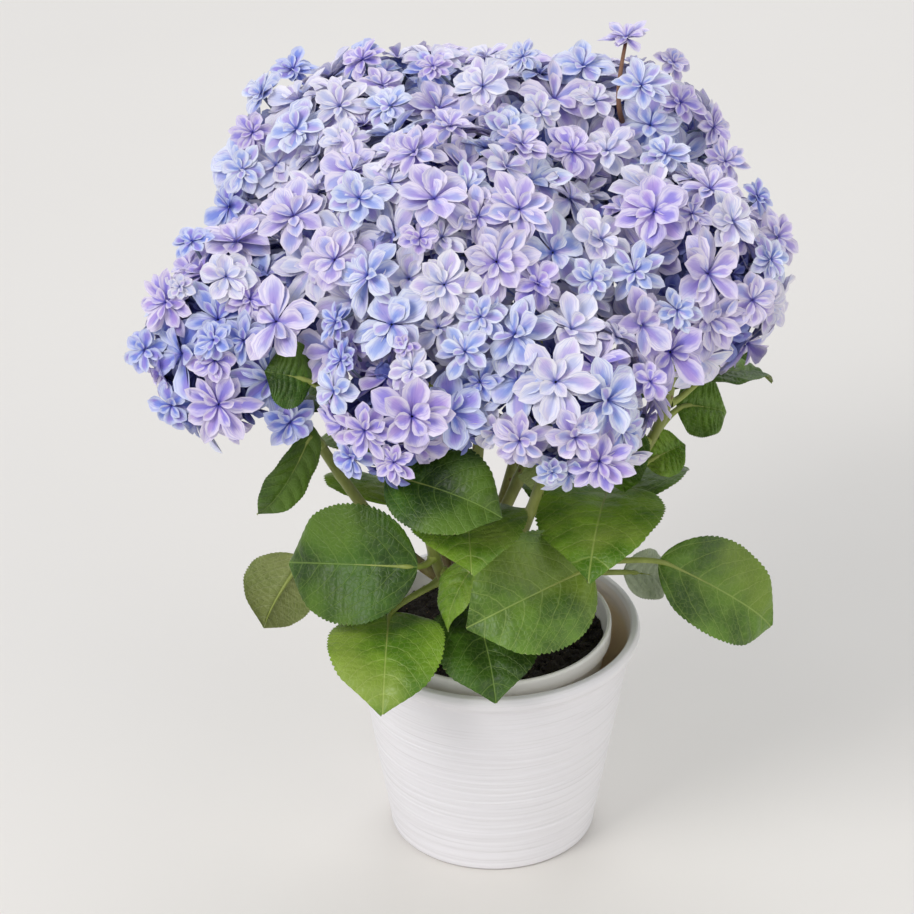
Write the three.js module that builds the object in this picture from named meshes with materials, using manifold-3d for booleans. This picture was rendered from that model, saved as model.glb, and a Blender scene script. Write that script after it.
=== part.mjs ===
// A mophead hydrangea in a glazed cover pot.
//
// Units are millimetres, +Z is up, and the origin is the centre of the pot's
// flat underside. The shrub is one short woody stem that forks low into eleven
// canes. Each cane carries one domed flower head and a few large leaves.
//
// Every piece is a closed solid in its own mesh. Where one piece meets the
// next there is a clearance of about 0.3 mm.

import * as THREE from 'three';
import { mergeVertices } from 'three/addons/utils/BufferGeometryUtils.js';
import Module from 'manifold-3d';

const wasm = await Module();
wasm.setup();

// ---------------------------------------------------------------------------
// Driving dimensions
// ---------------------------------------------------------------------------

const CLEARANCE = 0.3;

const POT = {
  height: 123.5,
  rimRadius: 78,
  footRadius: 54.5,
  footChamfer: 1.5,
  lipHeight: 11.5,
  lipOverhang: 4.8,
  wall: 5,
  cove: 2,
  floor: 6,
  sides: 42,
};

// The rolled lip from outside to inside: how far each point lies inside the
// rim's radius, and how far below the pot's top.
const LIP_PROFILE = [[1, 7.5], [0, 3.5], [1.5, 0.5], [4.5, 0], [5.5, 2], [7, 10.5]];

// The thin grower's pot that stands inside, a little off centre.
const LINER = {
  x: -1,
  y: -4,
  top: 127.5,
  rimRadius: 63.5,
  rimBand: 10,
  footRadius: 43,
  wall: 1.6,
  topRadius: 61,
  bandLedge: 0.5,
  sides: 36,
};

const SOIL = { top: 117, sides: 36 };

// The woody foot of the shrub: a leaning stump with a flared, lobed base.
const STEM = {
  foot: [-12, -6],
  crown: [-18, -9],
  height: 46,
  footRadius: 14,
  waistRadius: 8.5,
  crownRadius: 7,
  lobes: 5,
  lobeDepth: 0.16,
  sides: 15,
  steps: 6,
};

// The stubs fork off between these shares of the stem's length. Those low on
// the foot lean further out than those near its crown.
const STUB = {
  lowest: 0.25,
  highest: 0.97,
  length: 17,
  radius: 4,
  tipRadius: 3.6,
  footSpread: 0.7,
  crownSpread: 0.1,
  sides: 7,
};
const CANE = { radius: 3.3, tipRadius: 2.6, bend: 0.36, sides: 7, steps: 7 };

// The cane of this head comes up straight into it. The others come up along
// the head's own axis.
const UPRIGHT = 'right';

// The point that the flower heads face away from.
const HUB = [-14, -8, 110];

// One row for each flower head: its centre, its radius across and its radius
// along its own axis, how high on the stem its cane leaves (0 foot, 1 crown),
// and the seed of its florets.
const HEADS = [
  { name: 'centre', at: [-27, -8, 340], across: 80, deep: 78, fork: 1.0, seed: 11 },
  { name: 'left', at: [-126, -20, 304], across: 58, deep: 62, fork: 0.5, seed: 23 },
  { name: 'upper_left', at: [-90, 78, 347], across: 53, deep: 50, fork: 0.43, seed: 37 },
  { name: 'top_left', at: [-50, 108, 360], across: 48, deep: 42, fork: 0.66, seed: 47 },
  { name: 'top', at: [8, 92, 362], across: 58, deep: 46, fork: 0.92, seed: 41 },
  { name: 'upper_right', at: [76, 94, 358], across: 48, deep: 46, fork: 0.68, seed: 59 },
  { name: 'right', at: [91, 0, 328], across: 64, deep: 62, fork: 0.5, seed: 67 },
  { name: 'low_left', at: [-48, -94, 304], across: 36, deep: 36, fork: 0.34, seed: 73 },
  { name: 'low_right', at: [38, -94, 308], across: 46, deep: 44, fork: 0.44, seed: 89 },
  { name: 'back_left', at: [-56, 134, 300], across: 48, deep: 44, fork: 0.26, seed: 97 },
  { name: 'back_right', at: [46, 138, 302], across: 50, deep: 46, fork: 0.36, seed: 103 },
];

// A lone floret stands clear above this head on a long stalk.
const LONE_FLORET = { head: 'upper_right', at: [68, 90, 421], radius: 13.5 };

// Florets cover a head down to this angle from its axis.
const HEAD_REACH = THREE.MathUtils.degToRad(108);
const HEAD_STEM_DEPTH = 0.86;
const CORE_SCALE = 0.56;

// Heads that touch press together. The crown's skin is a soft union of them,
// which fills the crease between two heads by about this much.
const CREASE_FILL = 19;

// How far the floret's seat lies under the skin, as a share of its radius and
// a fixed part.
const SEAT = { share: 0.33, fixed: 2 };

// How far a floret strays from its place on the spiral: along it, and round.
const STRAY = { along: 0.3, round: 0.25 };
const FLORET = { radius: 22, spacing: 38, petals: 6, notch: 0.74, cup: 0.1, crest: 0.14, keel: 0.2 };
const RAY_RADIUS = 1.7;

// A floret that finds no room at full size sits deeper, and then grows smaller.
const FLORET_SIZES = [1, 0.85, 0.7, 0.55, 0.44];
const FLORET_SINKS = [1, 0.94, 0.88, 0.82, 0.76];

// One row for each leaf: its name, the cane it grows on, how far up that cane,
// the blade's base, its tip, its full width, and how far the blade is rolled
// about its midrib, in degrees.
const LEAVES = [
  ['front_left', 'low_left', 0.4, [-39, -67, 198], [-107, -46, 188], 62, -58],
  ['over_rim', 'low_left', 0.22, [-54, -52, 161], [-57, -118, 144], 60, 0],
  ['far_left', 'left', 0.42, [-99, -8, 167], [-121, -30, 138], 42, 120],
  ['under_low_left', 'low_left', 0.7, [-54, -98, 271], [3, -122, 262], 50, 35],
  ['centre', 'centre', 0.5, [-15, -62, 232], [-12, -124, 232], 60, 0],
  ['centre_right', 'right', 0.32, [60, -13, 213], [47, -97, 211], 66, 0],
  ['big_front', 'low_right', 0.34, [49, -67, 198], [-14, -99, 182], 62, -50],
  ['dark_front', 'low_left', 0.3, [-11, -44, 162], [1, -101, 139], 56, 0],
  ['young', 'low_right', 0.3, [-4, -51, 197], [-25, -77, 166], 28, 20],
  ['right', 'right', 0.2, [86, -20, 173], [148, -12, 127], 52, 50],
  ['right_under', 'right', 0.13, [68, -4, 156], [93, 12, 142], 27, 60],
  ['right_high', 'right', 0.74, [95, 22, 242], [122, 27, 235], 36, 40],
  ['right_edge', 'right', 0.88, [106, 10, 264], [146, 30, 254], 28, 0],
  ['right_back', 'upper_right', 0.55, [116, 60, 252], [132, 70, 253], 26, 30],
  ['right_small', 'right', 0.5, [79, 10, 214], [100, 16, 222], 26, 45],
  ['right_inner', 'right', 0.72, [68, -20, 258], [66, -36, 224], 32, 20],
  ['hanging_left', 'left', 0.86, [-93, -30, 260], [-121, -42, 213], 25, -92],
  ['under_low_right', 'low_right', 0.74, [34, -48, 254], [20, -38, 226], 28, 20],
  ['gap_left', 'low_left', 0.9, [-92, -70, 309], [-115, -72, 316], 34, -50],
  ['gap_low', 'low_left', 0.88, [-48, -40, 286], [-71, -42, 295], 34, -40],
  ['gap_right', 'low_right', 0.9, [54, -50, 307], [28, -40, 325], 36, -40],
  ['back_left', 'back_left', 0.4, [-50, 58, 196], [-86, 100, 182], 60, -8],
  ['back_right', 'back_right', 0.4, [36, 58, 200], [58, 124, 188], 54, 8],
  ['back_middle', 'top', 0.4, [-8, 62, 226], [-12, 132, 214], 58, 0],
  ['upper_left', 'upper_left', 0.5, [-75, 40, 228], [-130, 66, 222], 56, 10],
  ['upper_right', 'upper_right', 0.5, [72, 50, 230], [118, 92, 222], 56, -8],
  ['low_back_left', 'upper_left', 0.28, [-52, 30, 176], [-70, 86, 162], 58, 0],
  ['low_back_right', 'back_right', 0.22, [32, 28, 172], [50, 92, 158], 54, 0],
  ['side_right', 'upper_right', 0.34, [66, 34, 178], [88, 96, 166], 54, 6],
].map(([place, cane, up, base, tip, width, roll]) => (
  { name: `leaf_${place}`, cane, up, base, tip, width, roll }
));

// The blade's stations are shares of its length. Arch is how high the midrib
// bows above the straight line from base to tip, as a share of that length, and
// fold is how far each half rises from the midrib.
const LEAF = {
  thickness: 1,
  stations: [0.13, 0.38, 0.64, 0.87],
  arch: 0.1,
  fold: 0.14,
  petiole: 2,
  petioleTip: 1.4,
  petioleSides: 3,
  petioleSteps: 3,
  petioleBend: 0.3,
  sunk: 7,
};

// A stalk starts this far off the skin of its cane.
const STALK_GAP = CLEARANCE + 0.05;

// ---------------------------------------------------------------------------
// Materials
// ---------------------------------------------------------------------------

const finish = (color, roughness) => new THREE.MeshStandardMaterial({ color, roughness, metalness: 0 });
const GLAZE = finish(0xe4e3e2, 0.35);
const PLASTIC = finish(0xd9d7d0, 0.5);
const COMPOST = finish(0x1d1713, 0.95);
const BARK = finish(0x7b6a45, 0.8);
const CANE_GREEN = finish(0x8c9455, 0.6);
const LEAF_GREEN = finish(0x4f7a33, 0.55);
const PETAL_BLUE = finish(0xa9aadf, 0.7);

const plant = new THREE.Group();

function place(name, geometry, material, position = [0, 0, 0]) {
  const mesh = new THREE.Mesh(geometry, material);
  mesh.name = name;
  mesh.position.set(...position);
  plant.add(mesh);
  return mesh;
}

// ---------------------------------------------------------------------------
// Solids
// ---------------------------------------------------------------------------

const vec = (point) => new THREE.Vector3(...point);

// A closed geometry from a list of Vector3 corners and a list of triangles.
function closedGeometry(corners, triangles) {
  const geometry = new THREE.BufferGeometry();
  const numbers = corners.flatMap((corner) => corner.toArray());
  geometry.setAttribute('position', new THREE.Float32BufferAttribute(numbers, 3));
  geometry.setIndex(triangles.flat());
  return geometry;
}

function toSolid(geometry) {
  const bare = geometry.clone();
  bare.deleteAttribute('normal');
  bare.deleteAttribute('uv');
  const merged = mergeVertices(bare, 1e-4);
  const mesh = new wasm.Mesh({
    numProp: 3,
    vertProperties: new Float32Array(merged.attributes.position.array),
    triVerts: new Uint32Array(merged.index.array),
  });
  return new wasm.Manifold(mesh);
}

function toGeometry(solid) {
  const mesh = solid.getMesh();
  const geometry = new THREE.BufferGeometry();
  geometry.setAttribute('position', new THREE.BufferAttribute(mesh.vertProperties, 3));
  geometry.setIndex(new THREE.BufferAttribute(mesh.triVerts, 1));
  return geometry;
}

// Joins the solids, and keeps the one body that they make.
function fuse(solids) {
  const joined = solids.reduce((sum, next) => sum.add(next));
  const bodies = joined.decompose().sort((a, b) => b.volume() - a.volume());
  return bodies[0];
}

// The same numbers in the same order on every run, from 0 to 1.
function seeded(seed) {
  const MODULUS = 2147483647;
  const FACTOR = 48271;
  let state = seed;
  return () => {
    state = (state * FACTOR) % MODULUS;
    return state / MODULUS;
  };
}

// A solid tube along a curve. radiusAt(t, angle) gives its radius.
function limb(curve, radiusAt, sides, steps) {
  const frames = curve.computeFrenetFrames(steps);
  const corners = [];
  for (let step = 0; step <= steps; step += 1) {
    const t = step / steps;
    const centre = curve.getPoint(t);
    for (let side = 0; side < sides; side += 1) {
      const angle = (2 * Math.PI * side) / sides;
      const radius = radiusAt(t, angle);
      corners.push(centre.clone()
        .addScaledVector(frames.normals[step], radius * Math.cos(angle))
        .addScaledVector(frames.binormals[step], radius * Math.sin(angle)));
    }
  }
  const triangles = [];
  for (let step = 0; step < steps; step += 1) {
    for (let side = 0; side < sides; side += 1) {
      const here = step * sides + side;
      const next = step * sides + ((side + 1) % sides);
      triangles.push([here, next, here + sides], [next, next + sides, here + sides]);
    }
  }
  const last = steps * sides;
  for (let side = 1; side < sides - 1; side += 1) {
    triangles.push([0, side + 1, side], [last, last + side, last + side + 1]);
  }
  return closedGeometry(corners, triangles);
}

const taper = (from, to) => (t) => THREE.MathUtils.lerp(from, to, t);

// A Bezier curve that leaves one point along one direction and arrives at
// another along another. Bend is the share of the span that each end governs.
function bentCurve(from, leaving, to, arriving, bend) {
  const span = from.distanceTo(to);
  return new THREE.CubicBezierCurve3(
    from,
    from.clone().addScaledVector(leaving, span * bend),
    to.clone().addScaledVector(arriving, -span * bend),
    to,
  );
}

// ---------------------------------------------------------------------------
// Cover pot, grower's pot and compost
// ---------------------------------------------------------------------------

const lathe = (profile, sides) => {
  const outline = profile.map(([radius, height]) => new THREE.Vector2(radius, height));
  return new THREE.LatheGeometry(outline, sides).rotateX(Math.PI / 2);
};

function coverPot() {
  const { height, rimRadius, footRadius, footChamfer, wall, cove, floor } = POT;
  return lathe([
    [0, 0],
    [footRadius - footChamfer, 0],
    [footRadius, footChamfer],
    [rimRadius - POT.lipOverhang, height - POT.lipHeight],
    ...LIP_PROFILE.map(([inset, drop]) => [rimRadius - inset, height - drop]),
    [footRadius - wall, floor + cove],
    [footRadius - wall - cove, floor],
    [0, floor],
  ], POT.sides);
}

const linerFloor = POT.floor + CLEARANCE + LINER.wall;

// Inner radius of the grower's pot at a height.
function linerInside(height) {
  const share = (height - linerFloor) / (LINER.top - linerFloor);
  return THREE.MathUtils.lerp(LINER.footRadius - LINER.wall, LINER.topRadius, share);
}

function growersPot() {
  const under = POT.floor + CLEARANCE;
  const bandFoot = LINER.top - LINER.rimBand;
  return lathe([
    [0, under],
    [LINER.footRadius, under],
    [linerInside(bandFoot) + LINER.wall, bandFoot - LINER.bandLedge],
    [LINER.rimRadius, bandFoot],
    [LINER.rimRadius, LINER.top],
    [LINER.topRadius, LINER.top],
    [LINER.footRadius - LINER.wall, linerFloor],
    [0, linerFloor],
  ], LINER.sides);
}

function compost() {
  const under = linerFloor + CLEARANCE;
  return lathe([
    [0, under],
    [linerInside(under) - CLEARANCE, under],
    [linerInside(SOIL.top) - CLEARANCE, SOIL.top],
    [0, SOIL.top],
  ], SOIL.sides);
}

// ---------------------------------------------------------------------------
// Woody foot and canes
// ---------------------------------------------------------------------------

const stemFoot = SOIL.top + CLEARANCE;
const stemCurve = new THREE.QuadraticBezierCurve3(
  new THREE.Vector3(...STEM.foot, stemFoot),
  new THREE.Vector3(...STEM.foot, stemFoot + STEM.height * 0.45),
  new THREE.Vector3(...STEM.crown, stemFoot + STEM.height),
);

function stemRadius(t, angle) {
  const FLARE_DECAY = 7;
  const LOBE_DECAY = 3.5;
  const flare = (STEM.footRadius - STEM.waistRadius) * Math.exp(-FLARE_DECAY * t);
  const lobes = 1 + STEM.lobeDepth * Math.cos(STEM.lobes * angle) * Math.exp(-LOBE_DECAY * t);
  return (THREE.MathUtils.lerp(STEM.waistRadius, STEM.crownRadius, t) + flare) * lobes;
}

// The frame of a head: its centre, its own axis, and two sides square to it.
function headFrame(head) {
  const centre = vec(head.at);
  const axis = centre.clone().sub(vec(HUB)).normalize();
  const side = new THREE.Vector3(0, 1, 0).cross(axis).normalize();
  const other = axis.clone().cross(side);
  return { centre, axis, side, other };
}

// A point on a head, or inside it at a scale under 1.
function headPoint(head, azimuth, polar, scale) {
  const { centre, axis, side, other } = headFrame(head);
  const across = head.across * scale * Math.sin(polar);
  return centre
    .addScaledVector(side, across * Math.cos(azimuth))
    .addScaledVector(other, across * Math.sin(azimuth))
    .addScaledVector(axis, head.deep * scale * Math.cos(polar));
}

// Where a cane leaves the stub on the woody foot, and where it ends under its
// head.
function caneEnds(head) {
  const { centre, axis } = headFrame(head);
  const stand = head.name === UPRIGHT ? new THREE.Vector3(0, 0, 1) : axis;
  const fork = stemCurve.getPoint(THREE.MathUtils.lerp(STUB.lowest, STUB.highest, head.fork));
  const tip = centre.clone().addScaledVector(stand, -head.deep * HEAD_STEM_DEPTH);
  const outward = tip.clone().sub(fork).setZ(0).normalize();
  const spread = THREE.MathUtils.lerp(STUB.footSpread, STUB.crownSpread, head.fork);
  const leaving = tip.clone().sub(fork).normalize().addScaledVector(outward, spread).normalize();
  const stubTip = fork.clone().addScaledVector(leaving, STUB.length);
  const foot = stubTip.clone().addScaledVector(leaving, CLEARANCE);
  return { fork, stubTip, foot, leaving, tip, stand };
}

function caneCurve(head) {
  const { foot, leaving, tip, stand } = caneEnds(head);
  return bentCurve(foot, leaving, tip, stand, CANE.bend);
}

function caneGeometry(head, extra = 0) {
  const radius = taper(CANE.radius + extra, CANE.tipRadius + extra);
  return limb(caneCurve(head), radius, CANE.sides, CANE.steps);
}

function mainStem() {
  const trunk = toSolid(limb(stemCurve, stemRadius, STEM.sides, STEM.steps));
  const stubs = HEADS.map((head) => {
    const { fork, stubTip } = caneEnds(head);
    const line = new THREE.LineCurve3(fork, stubTip);
    return toSolid(limb(line, taper(STUB.radius, STUB.tipRadius), STUB.sides, 1));
  });
  return fuse([trunk, ...stubs]);
}

// ---------------------------------------------------------------------------
// Leaves
// ---------------------------------------------------------------------------

const OUTLINE_RISE = 0.6;
const OUTLINE_FALL = 0.85;
const OUTLINE_PEAK = 0.374;

// Share of the full half width of a blade at a share of its length.
const leafOutline = (t) => (t ** OUTLINE_RISE * (1 - t) ** OUTLINE_FALL) / OUTLINE_PEAK;

function leafFrame(leaf) {
  const base = vec(leaf.base);
  const along = vec(leaf.tip).sub(base);
  const length = along.length();
  along.normalize();
  const level = new THREE.Vector3(0, 0, 1).addScaledVector(along, -along.z).normalize();
  const face = level.applyAxisAngle(along, THREE.MathUtils.degToRad(leaf.roll));
  const across = along.clone().cross(face);
  return { base, along, face, across, length };
}

// The midrib bows above the straight line from the blade's base to its tip.
function midrib(leaf, t) {
  const { base, along, face, length } = leafFrame(leaf);
  const bow = 4 * LEAF.arch * length * t * (1 - t);
  return base.addScaledVector(along, length * t).addScaledVector(face, bow);
}

function bladeGeometry(leaf, extra = 0) {
  const { face, across } = leafFrame(leaf);
  const half = LEAF.thickness / 2 + extra;
  const corners = [];
  const triangles = [];
  const pair = (point) => {
    corners.push(point.clone().addScaledVector(face, half), point.clone().addScaledVector(face, -half));
    return corners.length - 2;
  };
  const foot = pair(midrib(leaf, 0));
  const rows = LEAF.stations.map((t) => {
    const middle = midrib(leaf, t);
    const reach = (leaf.width / 2) * leafOutline(t) + extra;
    const margin = (sign) => middle.clone()
      .addScaledVector(across, sign * reach)
      .addScaledVector(face, LEAF.fold * reach);
    return [pair(margin(-1)), pair(middle), pair(margin(1))];
  });
  const tip = pair(midrib(leaf, 1));
  const panel = (a, b, c) => {
    if (a === b || b === c || c === a) return;
    triangles.push([a, b, c], [a + 1, c + 1, b + 1]);
  };
  const edge = (a, b) => {
    triangles.push([a, b, a + 1], [b, b + 1, a + 1]);
  };
  const ends = [[foot, foot, foot], ...rows, [tip, tip, tip]];
  for (let row = 0; row < ends.length - 1; row += 1) {
    const [left, middle, right] = ends[row];
    const [nextLeft, nextMiddle, nextRight] = ends[row + 1];
    panel(left, middle, nextMiddle);
    panel(left, nextMiddle, nextLeft);
    panel(middle, right, nextMiddle);
    panel(right, nextRight, nextMiddle);
    edge(left, nextLeft);
    edge(nextRight, right);
  }
  return closedGeometry(corners, triangles);
}

// The stalk leaves its cane squarely and runs in under the blade.
function petioleCurve(leaf) {
  const cane = HEADS.find((head) => head.name === leaf.cane);
  const curve = caneCurve(cane);
  const node = curve.getPoint(leaf.up);
  const grain = curve.getTangent(leaf.up);
  const radius = THREE.MathUtils.lerp(CANE.radius, CANE.tipRadius, leaf.up);
  const { base, along } = leafFrame(leaf);
  const outward = base.clone().sub(node);
  outward.addScaledVector(grain, -outward.dot(grain)).normalize();
  const start = node.addScaledVector(outward, radius + STALK_GAP);
  const end = midrib(leaf, LEAF.sunk / leafFrame(leaf).length);
  return bentCurve(start, outward, end, along, LEAF.petioleBend);
}

function petioleGeometry(leaf, extra = 0) {
  const radius = taper(LEAF.petiole + extra, LEAF.petioleTip + extra);
  return limb(petioleCurve(leaf), radius, LEAF.petioleSides, LEAF.petioleSteps);
}

const leafSolid = (leaf, extra = 0) => fuse([
  toSolid(bladeGeometry(leaf, extra)),
  toSolid(petioleGeometry(leaf, extra)),
]);

// ---------------------------------------------------------------------------
// Flower heads
// ---------------------------------------------------------------------------

const GOLDEN_ANGLE = Math.PI * (3 - Math.sqrt(5));
const RAY_SIDES = 3;

// A direction that no floret faces, to square each floret's sides to.
const ASIDE = new THREE.Vector3(0.3, 1, 0.2);

// A floret with its ray: a shallow star of petal tips and notches round a
// raised eye, on a keel that narrows to a three-sided ray down to its root.
function floret(root, centre, normal, radius, spin) {
  const side = ASIDE.clone().cross(normal).normalize();
  const other = normal.clone().cross(side);
  const ring = (middle, reach, angle) => middle.clone()
    .addScaledVector(side, reach * Math.cos(angle))
    .addScaledVector(other, reach * Math.sin(angle));
  const count = 2 * FLORET.petals;
  const keel = centre.clone().addScaledVector(normal, -FLORET.keel * radius);
  const corners = [centre.clone().addScaledVector(normal, FLORET.crest * radius)];
  for (let point = 0; point < count; point += 1) {
    const isTip = point % 2 === 0;
    const height = isTip ? FLORET.cup * radius : 0;
    const reach = isTip ? radius : radius * FLORET.notch;
    const middle = centre.clone().addScaledVector(normal, height);
    corners.push(ring(middle, reach, spin + (2 * Math.PI * point) / count));
  }
  for (const middle of [keel, root]) {
    for (let corner = 0; corner < RAY_SIDES; corner += 1) {
      corners.push(ring(middle, RAY_RADIUS, spin + (2 * Math.PI * corner) / RAY_SIDES));
    }
  }
  const triangles = [];
  const star = (point) => 1 + (point % count);
  const neck = (corner) => 1 + count + (corner % RAY_SIDES);
  const foot = (corner) => 1 + count + RAY_SIDES + (corner % RAY_SIDES);
  const share = count / RAY_SIDES;
  for (let point = 0; point < count; point += 1) {
    triangles.push([0, star(point), star(point + 1)]);
    triangles.push([neck(Math.floor(point / share)), star(point + 1), star(point)]);
  }
  for (let corner = 0; corner < RAY_SIDES; corner += 1) {
    triangles.push([neck(corner), neck(corner + 1), star((corner + 1) * share)]);
    triangles.push([foot(corner), neck(corner + 1), neck(corner)]);
    triangles.push([foot(corner), foot(corner + 1), neck(corner + 1)]);
  }
  triangles.push([foot(0), foot(2), foot(1)]);
  return toSolid(closedGeometry(corners, triangles));
}

// How far a point lies outside the crown's skin, less than 0 inside it.
function crownDepth(point) {
  const sum = HEADS.reduce((total, head) => {
    const { centre, axis, side, other } = headFrame(head);
    const local = point.clone().sub(centre);
    const share = Math.hypot(
      local.dot(side) / head.across,
      local.dot(other) / head.across,
      local.dot(axis) / head.deep,
    );
    const depth = ((share - 1) * (head.across + head.deep)) / 2;
    return total + Math.exp(-depth / CREASE_FILL);
  }, 0);
  return -CREASE_FILL * Math.log(sum);
}

// The crown's outward direction at a point: the way its depth grows fastest.
function crownNormal(point) {
  const along = ['x', 'y', 'z'].map((axis) => {
    const ahead = point.clone();
    const behind = point.clone();
    ahead[axis] += 1;
    behind[axis] -= 1;
    return crownDepth(ahead) - crownDepth(behind);
  });
  return new THREE.Vector3(...along).normalize();
}

// The point under the crown's skin on the way out from a head's centre.
function seatUnderSkin(head, azimuth, polar, inset) {
  const OUTERMOST = 1.5;
  const INNERMOST = 0.3;
  const STEP = 0.02;
  const surface = headPoint(head, azimuth, polar, 1);
  const centre = vec(head.at);
  let share = OUTERMOST;
  while (share > INNERMOST && crownDepth(centre.clone().lerp(surface, share)) > -inset) {
    share -= STEP;
  }
  return centre.lerp(surface, share);
}

// How far a point of one head lies inside that head's own space, measured to
// the planes between it and every other head.
function ownSpace(head, point) {
  const centre = vec(head.at);
  const size = (head.across + head.deep) / 2;
  return Math.min(...HEADS.filter((other) => other !== head).map((other) => {
    const towards = vec(other.at).sub(centre);
    const distance = towards.length();
    const otherSize = (other.across + other.deep) / 2;
    const plane = (distance ** 2 + size ** 2 - otherSize ** 2) / (2 * distance);
    return plane - point.clone().sub(centre).dot(towards) / distance;
  }));
}

const cornersOf = (solid) => {
  const { vertProperties } = solid.getMesh();
  const points = [];
  for (let i = 0; i < vertProperties.length; i += 3) {
    points.push(new THREE.Vector3(vertProperties[i], vertProperties[i + 1], vertProperties[i + 2]));
  }
  return points;
};

const staysInside = (head, solid) => (
  cornersOf(solid).every((point) => ownSpace(head, point) > CLEARANCE / 2)
);
const touches = (solid, others) => others.some((other) => !solid.intersect(other).isEmpty());

const RAY_ROOTS = 6;
const ROOT_SCALE = 0.3;

// The peduncle forks inside the core into a few roots, from which the rays fan
// out to the florets.
const rayRoots = (head) => Array.from({ length: RAY_ROOTS }, (_, index) => {
  const polar = Math.acos(1 - ((index + 0.5) / RAY_ROOTS) * (1 - Math.cos(HEAD_REACH)));
  return headPoint(head, index * GOLDEN_ANGLE, polar, ROOT_SCALE);
});

const nearest = (points, target) => points.reduce(
  (best, point) => (point.distanceTo(target) < best.distanceTo(target) ? point : best),
);

// How many florets cover a head of this size evenly.
function floretCount(head) {
  const area = 2 * Math.PI * head.across * head.deep * (1 - Math.cos(HEAD_REACH));
  return Math.round(area / FLORET.spacing ** 2);
}

function headCore(head) {
  const { centre, axis } = headFrame(head);
  const room = ownSpace(head, centre) - CLEARANCE;
  const scale = Math.min(CORE_SCALE, room / Math.max(head.across, head.deep));
  const core = new THREE.IcosahedronGeometry(1, 1);
  core.scale(head.across * scale, head.across * scale, head.deep * scale);
  core.applyQuaternion(new THREE.Quaternion().setFromUnitVectors(new THREE.Vector3(0, 0, 1), axis));
  return toSolid(core.translate(...head.at));
}

function peduncle(head) {
  const { tip, stand } = caneEnds(head);
  const line = new THREE.LineCurve3(tip.addScaledVector(stand, CLEARANCE), vec(head.at));
  return toSolid(limb(line, taper(CANE.tipRadius, CANE.tipRadius), CANE.sides, 1));
}

function flowerHead(head, obstacles) {
  const random = seeded(head.seed);
  const pieces = [headCore(head), peduncle(head)];
  const roots = rayRoots(head);
  const fits = (solid) => staysInside(head, solid) && !touches(solid, obstacles);
  const count = floretCount(head);
  for (let index = 0; index < count; index += 1) {
    const share = (index + 0.5 + STRAY.along * (random() - 0.5)) / count;
    const polar = Math.acos(1 - share * (1 - Math.cos(HEAD_REACH)));
    const azimuth = index * GOLDEN_ANGLE + STRAY.round * (random() - 0.5);
    const spin = random() * Math.PI;
    const tries = FLORET_SIZES.flatMap((size) => FLORET_SINKS.map((sink) => [size * FLORET.radius, sink]));
    for (const [radius, sink] of tries) {
      const inset = SEAT.share * radius + SEAT.fixed;
      const shallow = seatUnderSkin(head, azimuth, polar, inset);
      const seat = vec(head.at).lerp(shallow, sink);
      const blossom = floret(nearest(roots, seat), seat, crownNormal(shallow), radius, spin);
      if (fits(blossom)) {
        pieces.push(blossom);
        break;
      }
    }
  }
  if (head.name === LONE_FLORET.head) {
    const seat = vec(LONE_FLORET.at);
    const normal = seat.clone().sub(vec(head.at)).normalize();
    pieces.push(floret(nearest(roots, seat), seat, normal, LONE_FLORET.radius, 0));
  }
  return fuse(pieces);
}

// ---------------------------------------------------------------------------
// The plant
// ---------------------------------------------------------------------------

place('pot', coverPot(), GLAZE);
place('nursery_pot', growersPot(), PLASTIC, [LINER.x, LINER.y, 0]);
place('soil', compost(), COMPOST, [LINER.x, LINER.y, 0]);
place('main_stem', toGeometry(mainStem()), BARK);
for (const head of HEADS) {
  place(`cane_${head.name}`, caneGeometry(head), CANE_GREEN);
}
for (const leaf of LEAVES) {
  place(leaf.name, toGeometry(leafSolid(leaf)), LEAF_GREEN);
}

const MARGIN = CLEARANCE + 0.1;
const obstacles = [
  ...HEADS.map((head) => toSolid(caneGeometry(head, MARGIN))),
  ...LEAVES.map((leaf) => leafSolid(leaf, MARGIN)),
];
for (const head of HEADS) {
  place(`flower_head_${head.name}`, toGeometry(flowerHead(head, obstacles)), PETAL_BLUE);
}

export default plant;
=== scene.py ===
# %% [markdown]
# # A potted mophead hydrangea
# The plant stands in a ribbed white cover pot: a short woody foot forks into
# eleven canes, and each cane carries one domed head of double florets.
# The frame is a set of plain solids, loaded first and never moved. Each visible
# piece below is grown again in the same place by the same rule, only finer.
# Lengths are millimetres while a shape is worked out, and metres in Blender.

# %% Load the frame
import math

import bpy
import numpy as np
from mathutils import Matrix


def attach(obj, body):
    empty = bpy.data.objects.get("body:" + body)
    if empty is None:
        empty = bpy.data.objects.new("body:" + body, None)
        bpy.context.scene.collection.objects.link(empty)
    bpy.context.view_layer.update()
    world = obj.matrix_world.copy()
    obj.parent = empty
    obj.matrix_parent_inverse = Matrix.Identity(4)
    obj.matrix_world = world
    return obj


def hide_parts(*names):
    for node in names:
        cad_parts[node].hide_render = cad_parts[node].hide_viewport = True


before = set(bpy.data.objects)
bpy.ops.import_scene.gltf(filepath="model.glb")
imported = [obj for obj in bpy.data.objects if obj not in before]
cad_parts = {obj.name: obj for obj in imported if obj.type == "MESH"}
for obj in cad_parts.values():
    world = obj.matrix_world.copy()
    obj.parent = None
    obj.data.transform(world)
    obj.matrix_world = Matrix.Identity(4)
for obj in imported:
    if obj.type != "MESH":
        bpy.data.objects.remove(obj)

MM = 0.001
ORIGIN = np.zeros(3)
RIGHT, UP = np.array([1.0, 0.0, 0.0]), np.array([0.0, 0.0, 1.0])
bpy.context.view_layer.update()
scene = bpy.context.scene
print("frame nodes:", len(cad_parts))

# %% [markdown]
# ## Camera, floor and light
# A plant portrait is taken from a few steps back with a long lens, looking a
# little down, so that the domes keep their true outline. The floor is one wide
# pale plane. Soft light comes from large area lamps, because small lamps would
# cut hard shadows between hundreds of petals and hide their colour.

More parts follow.
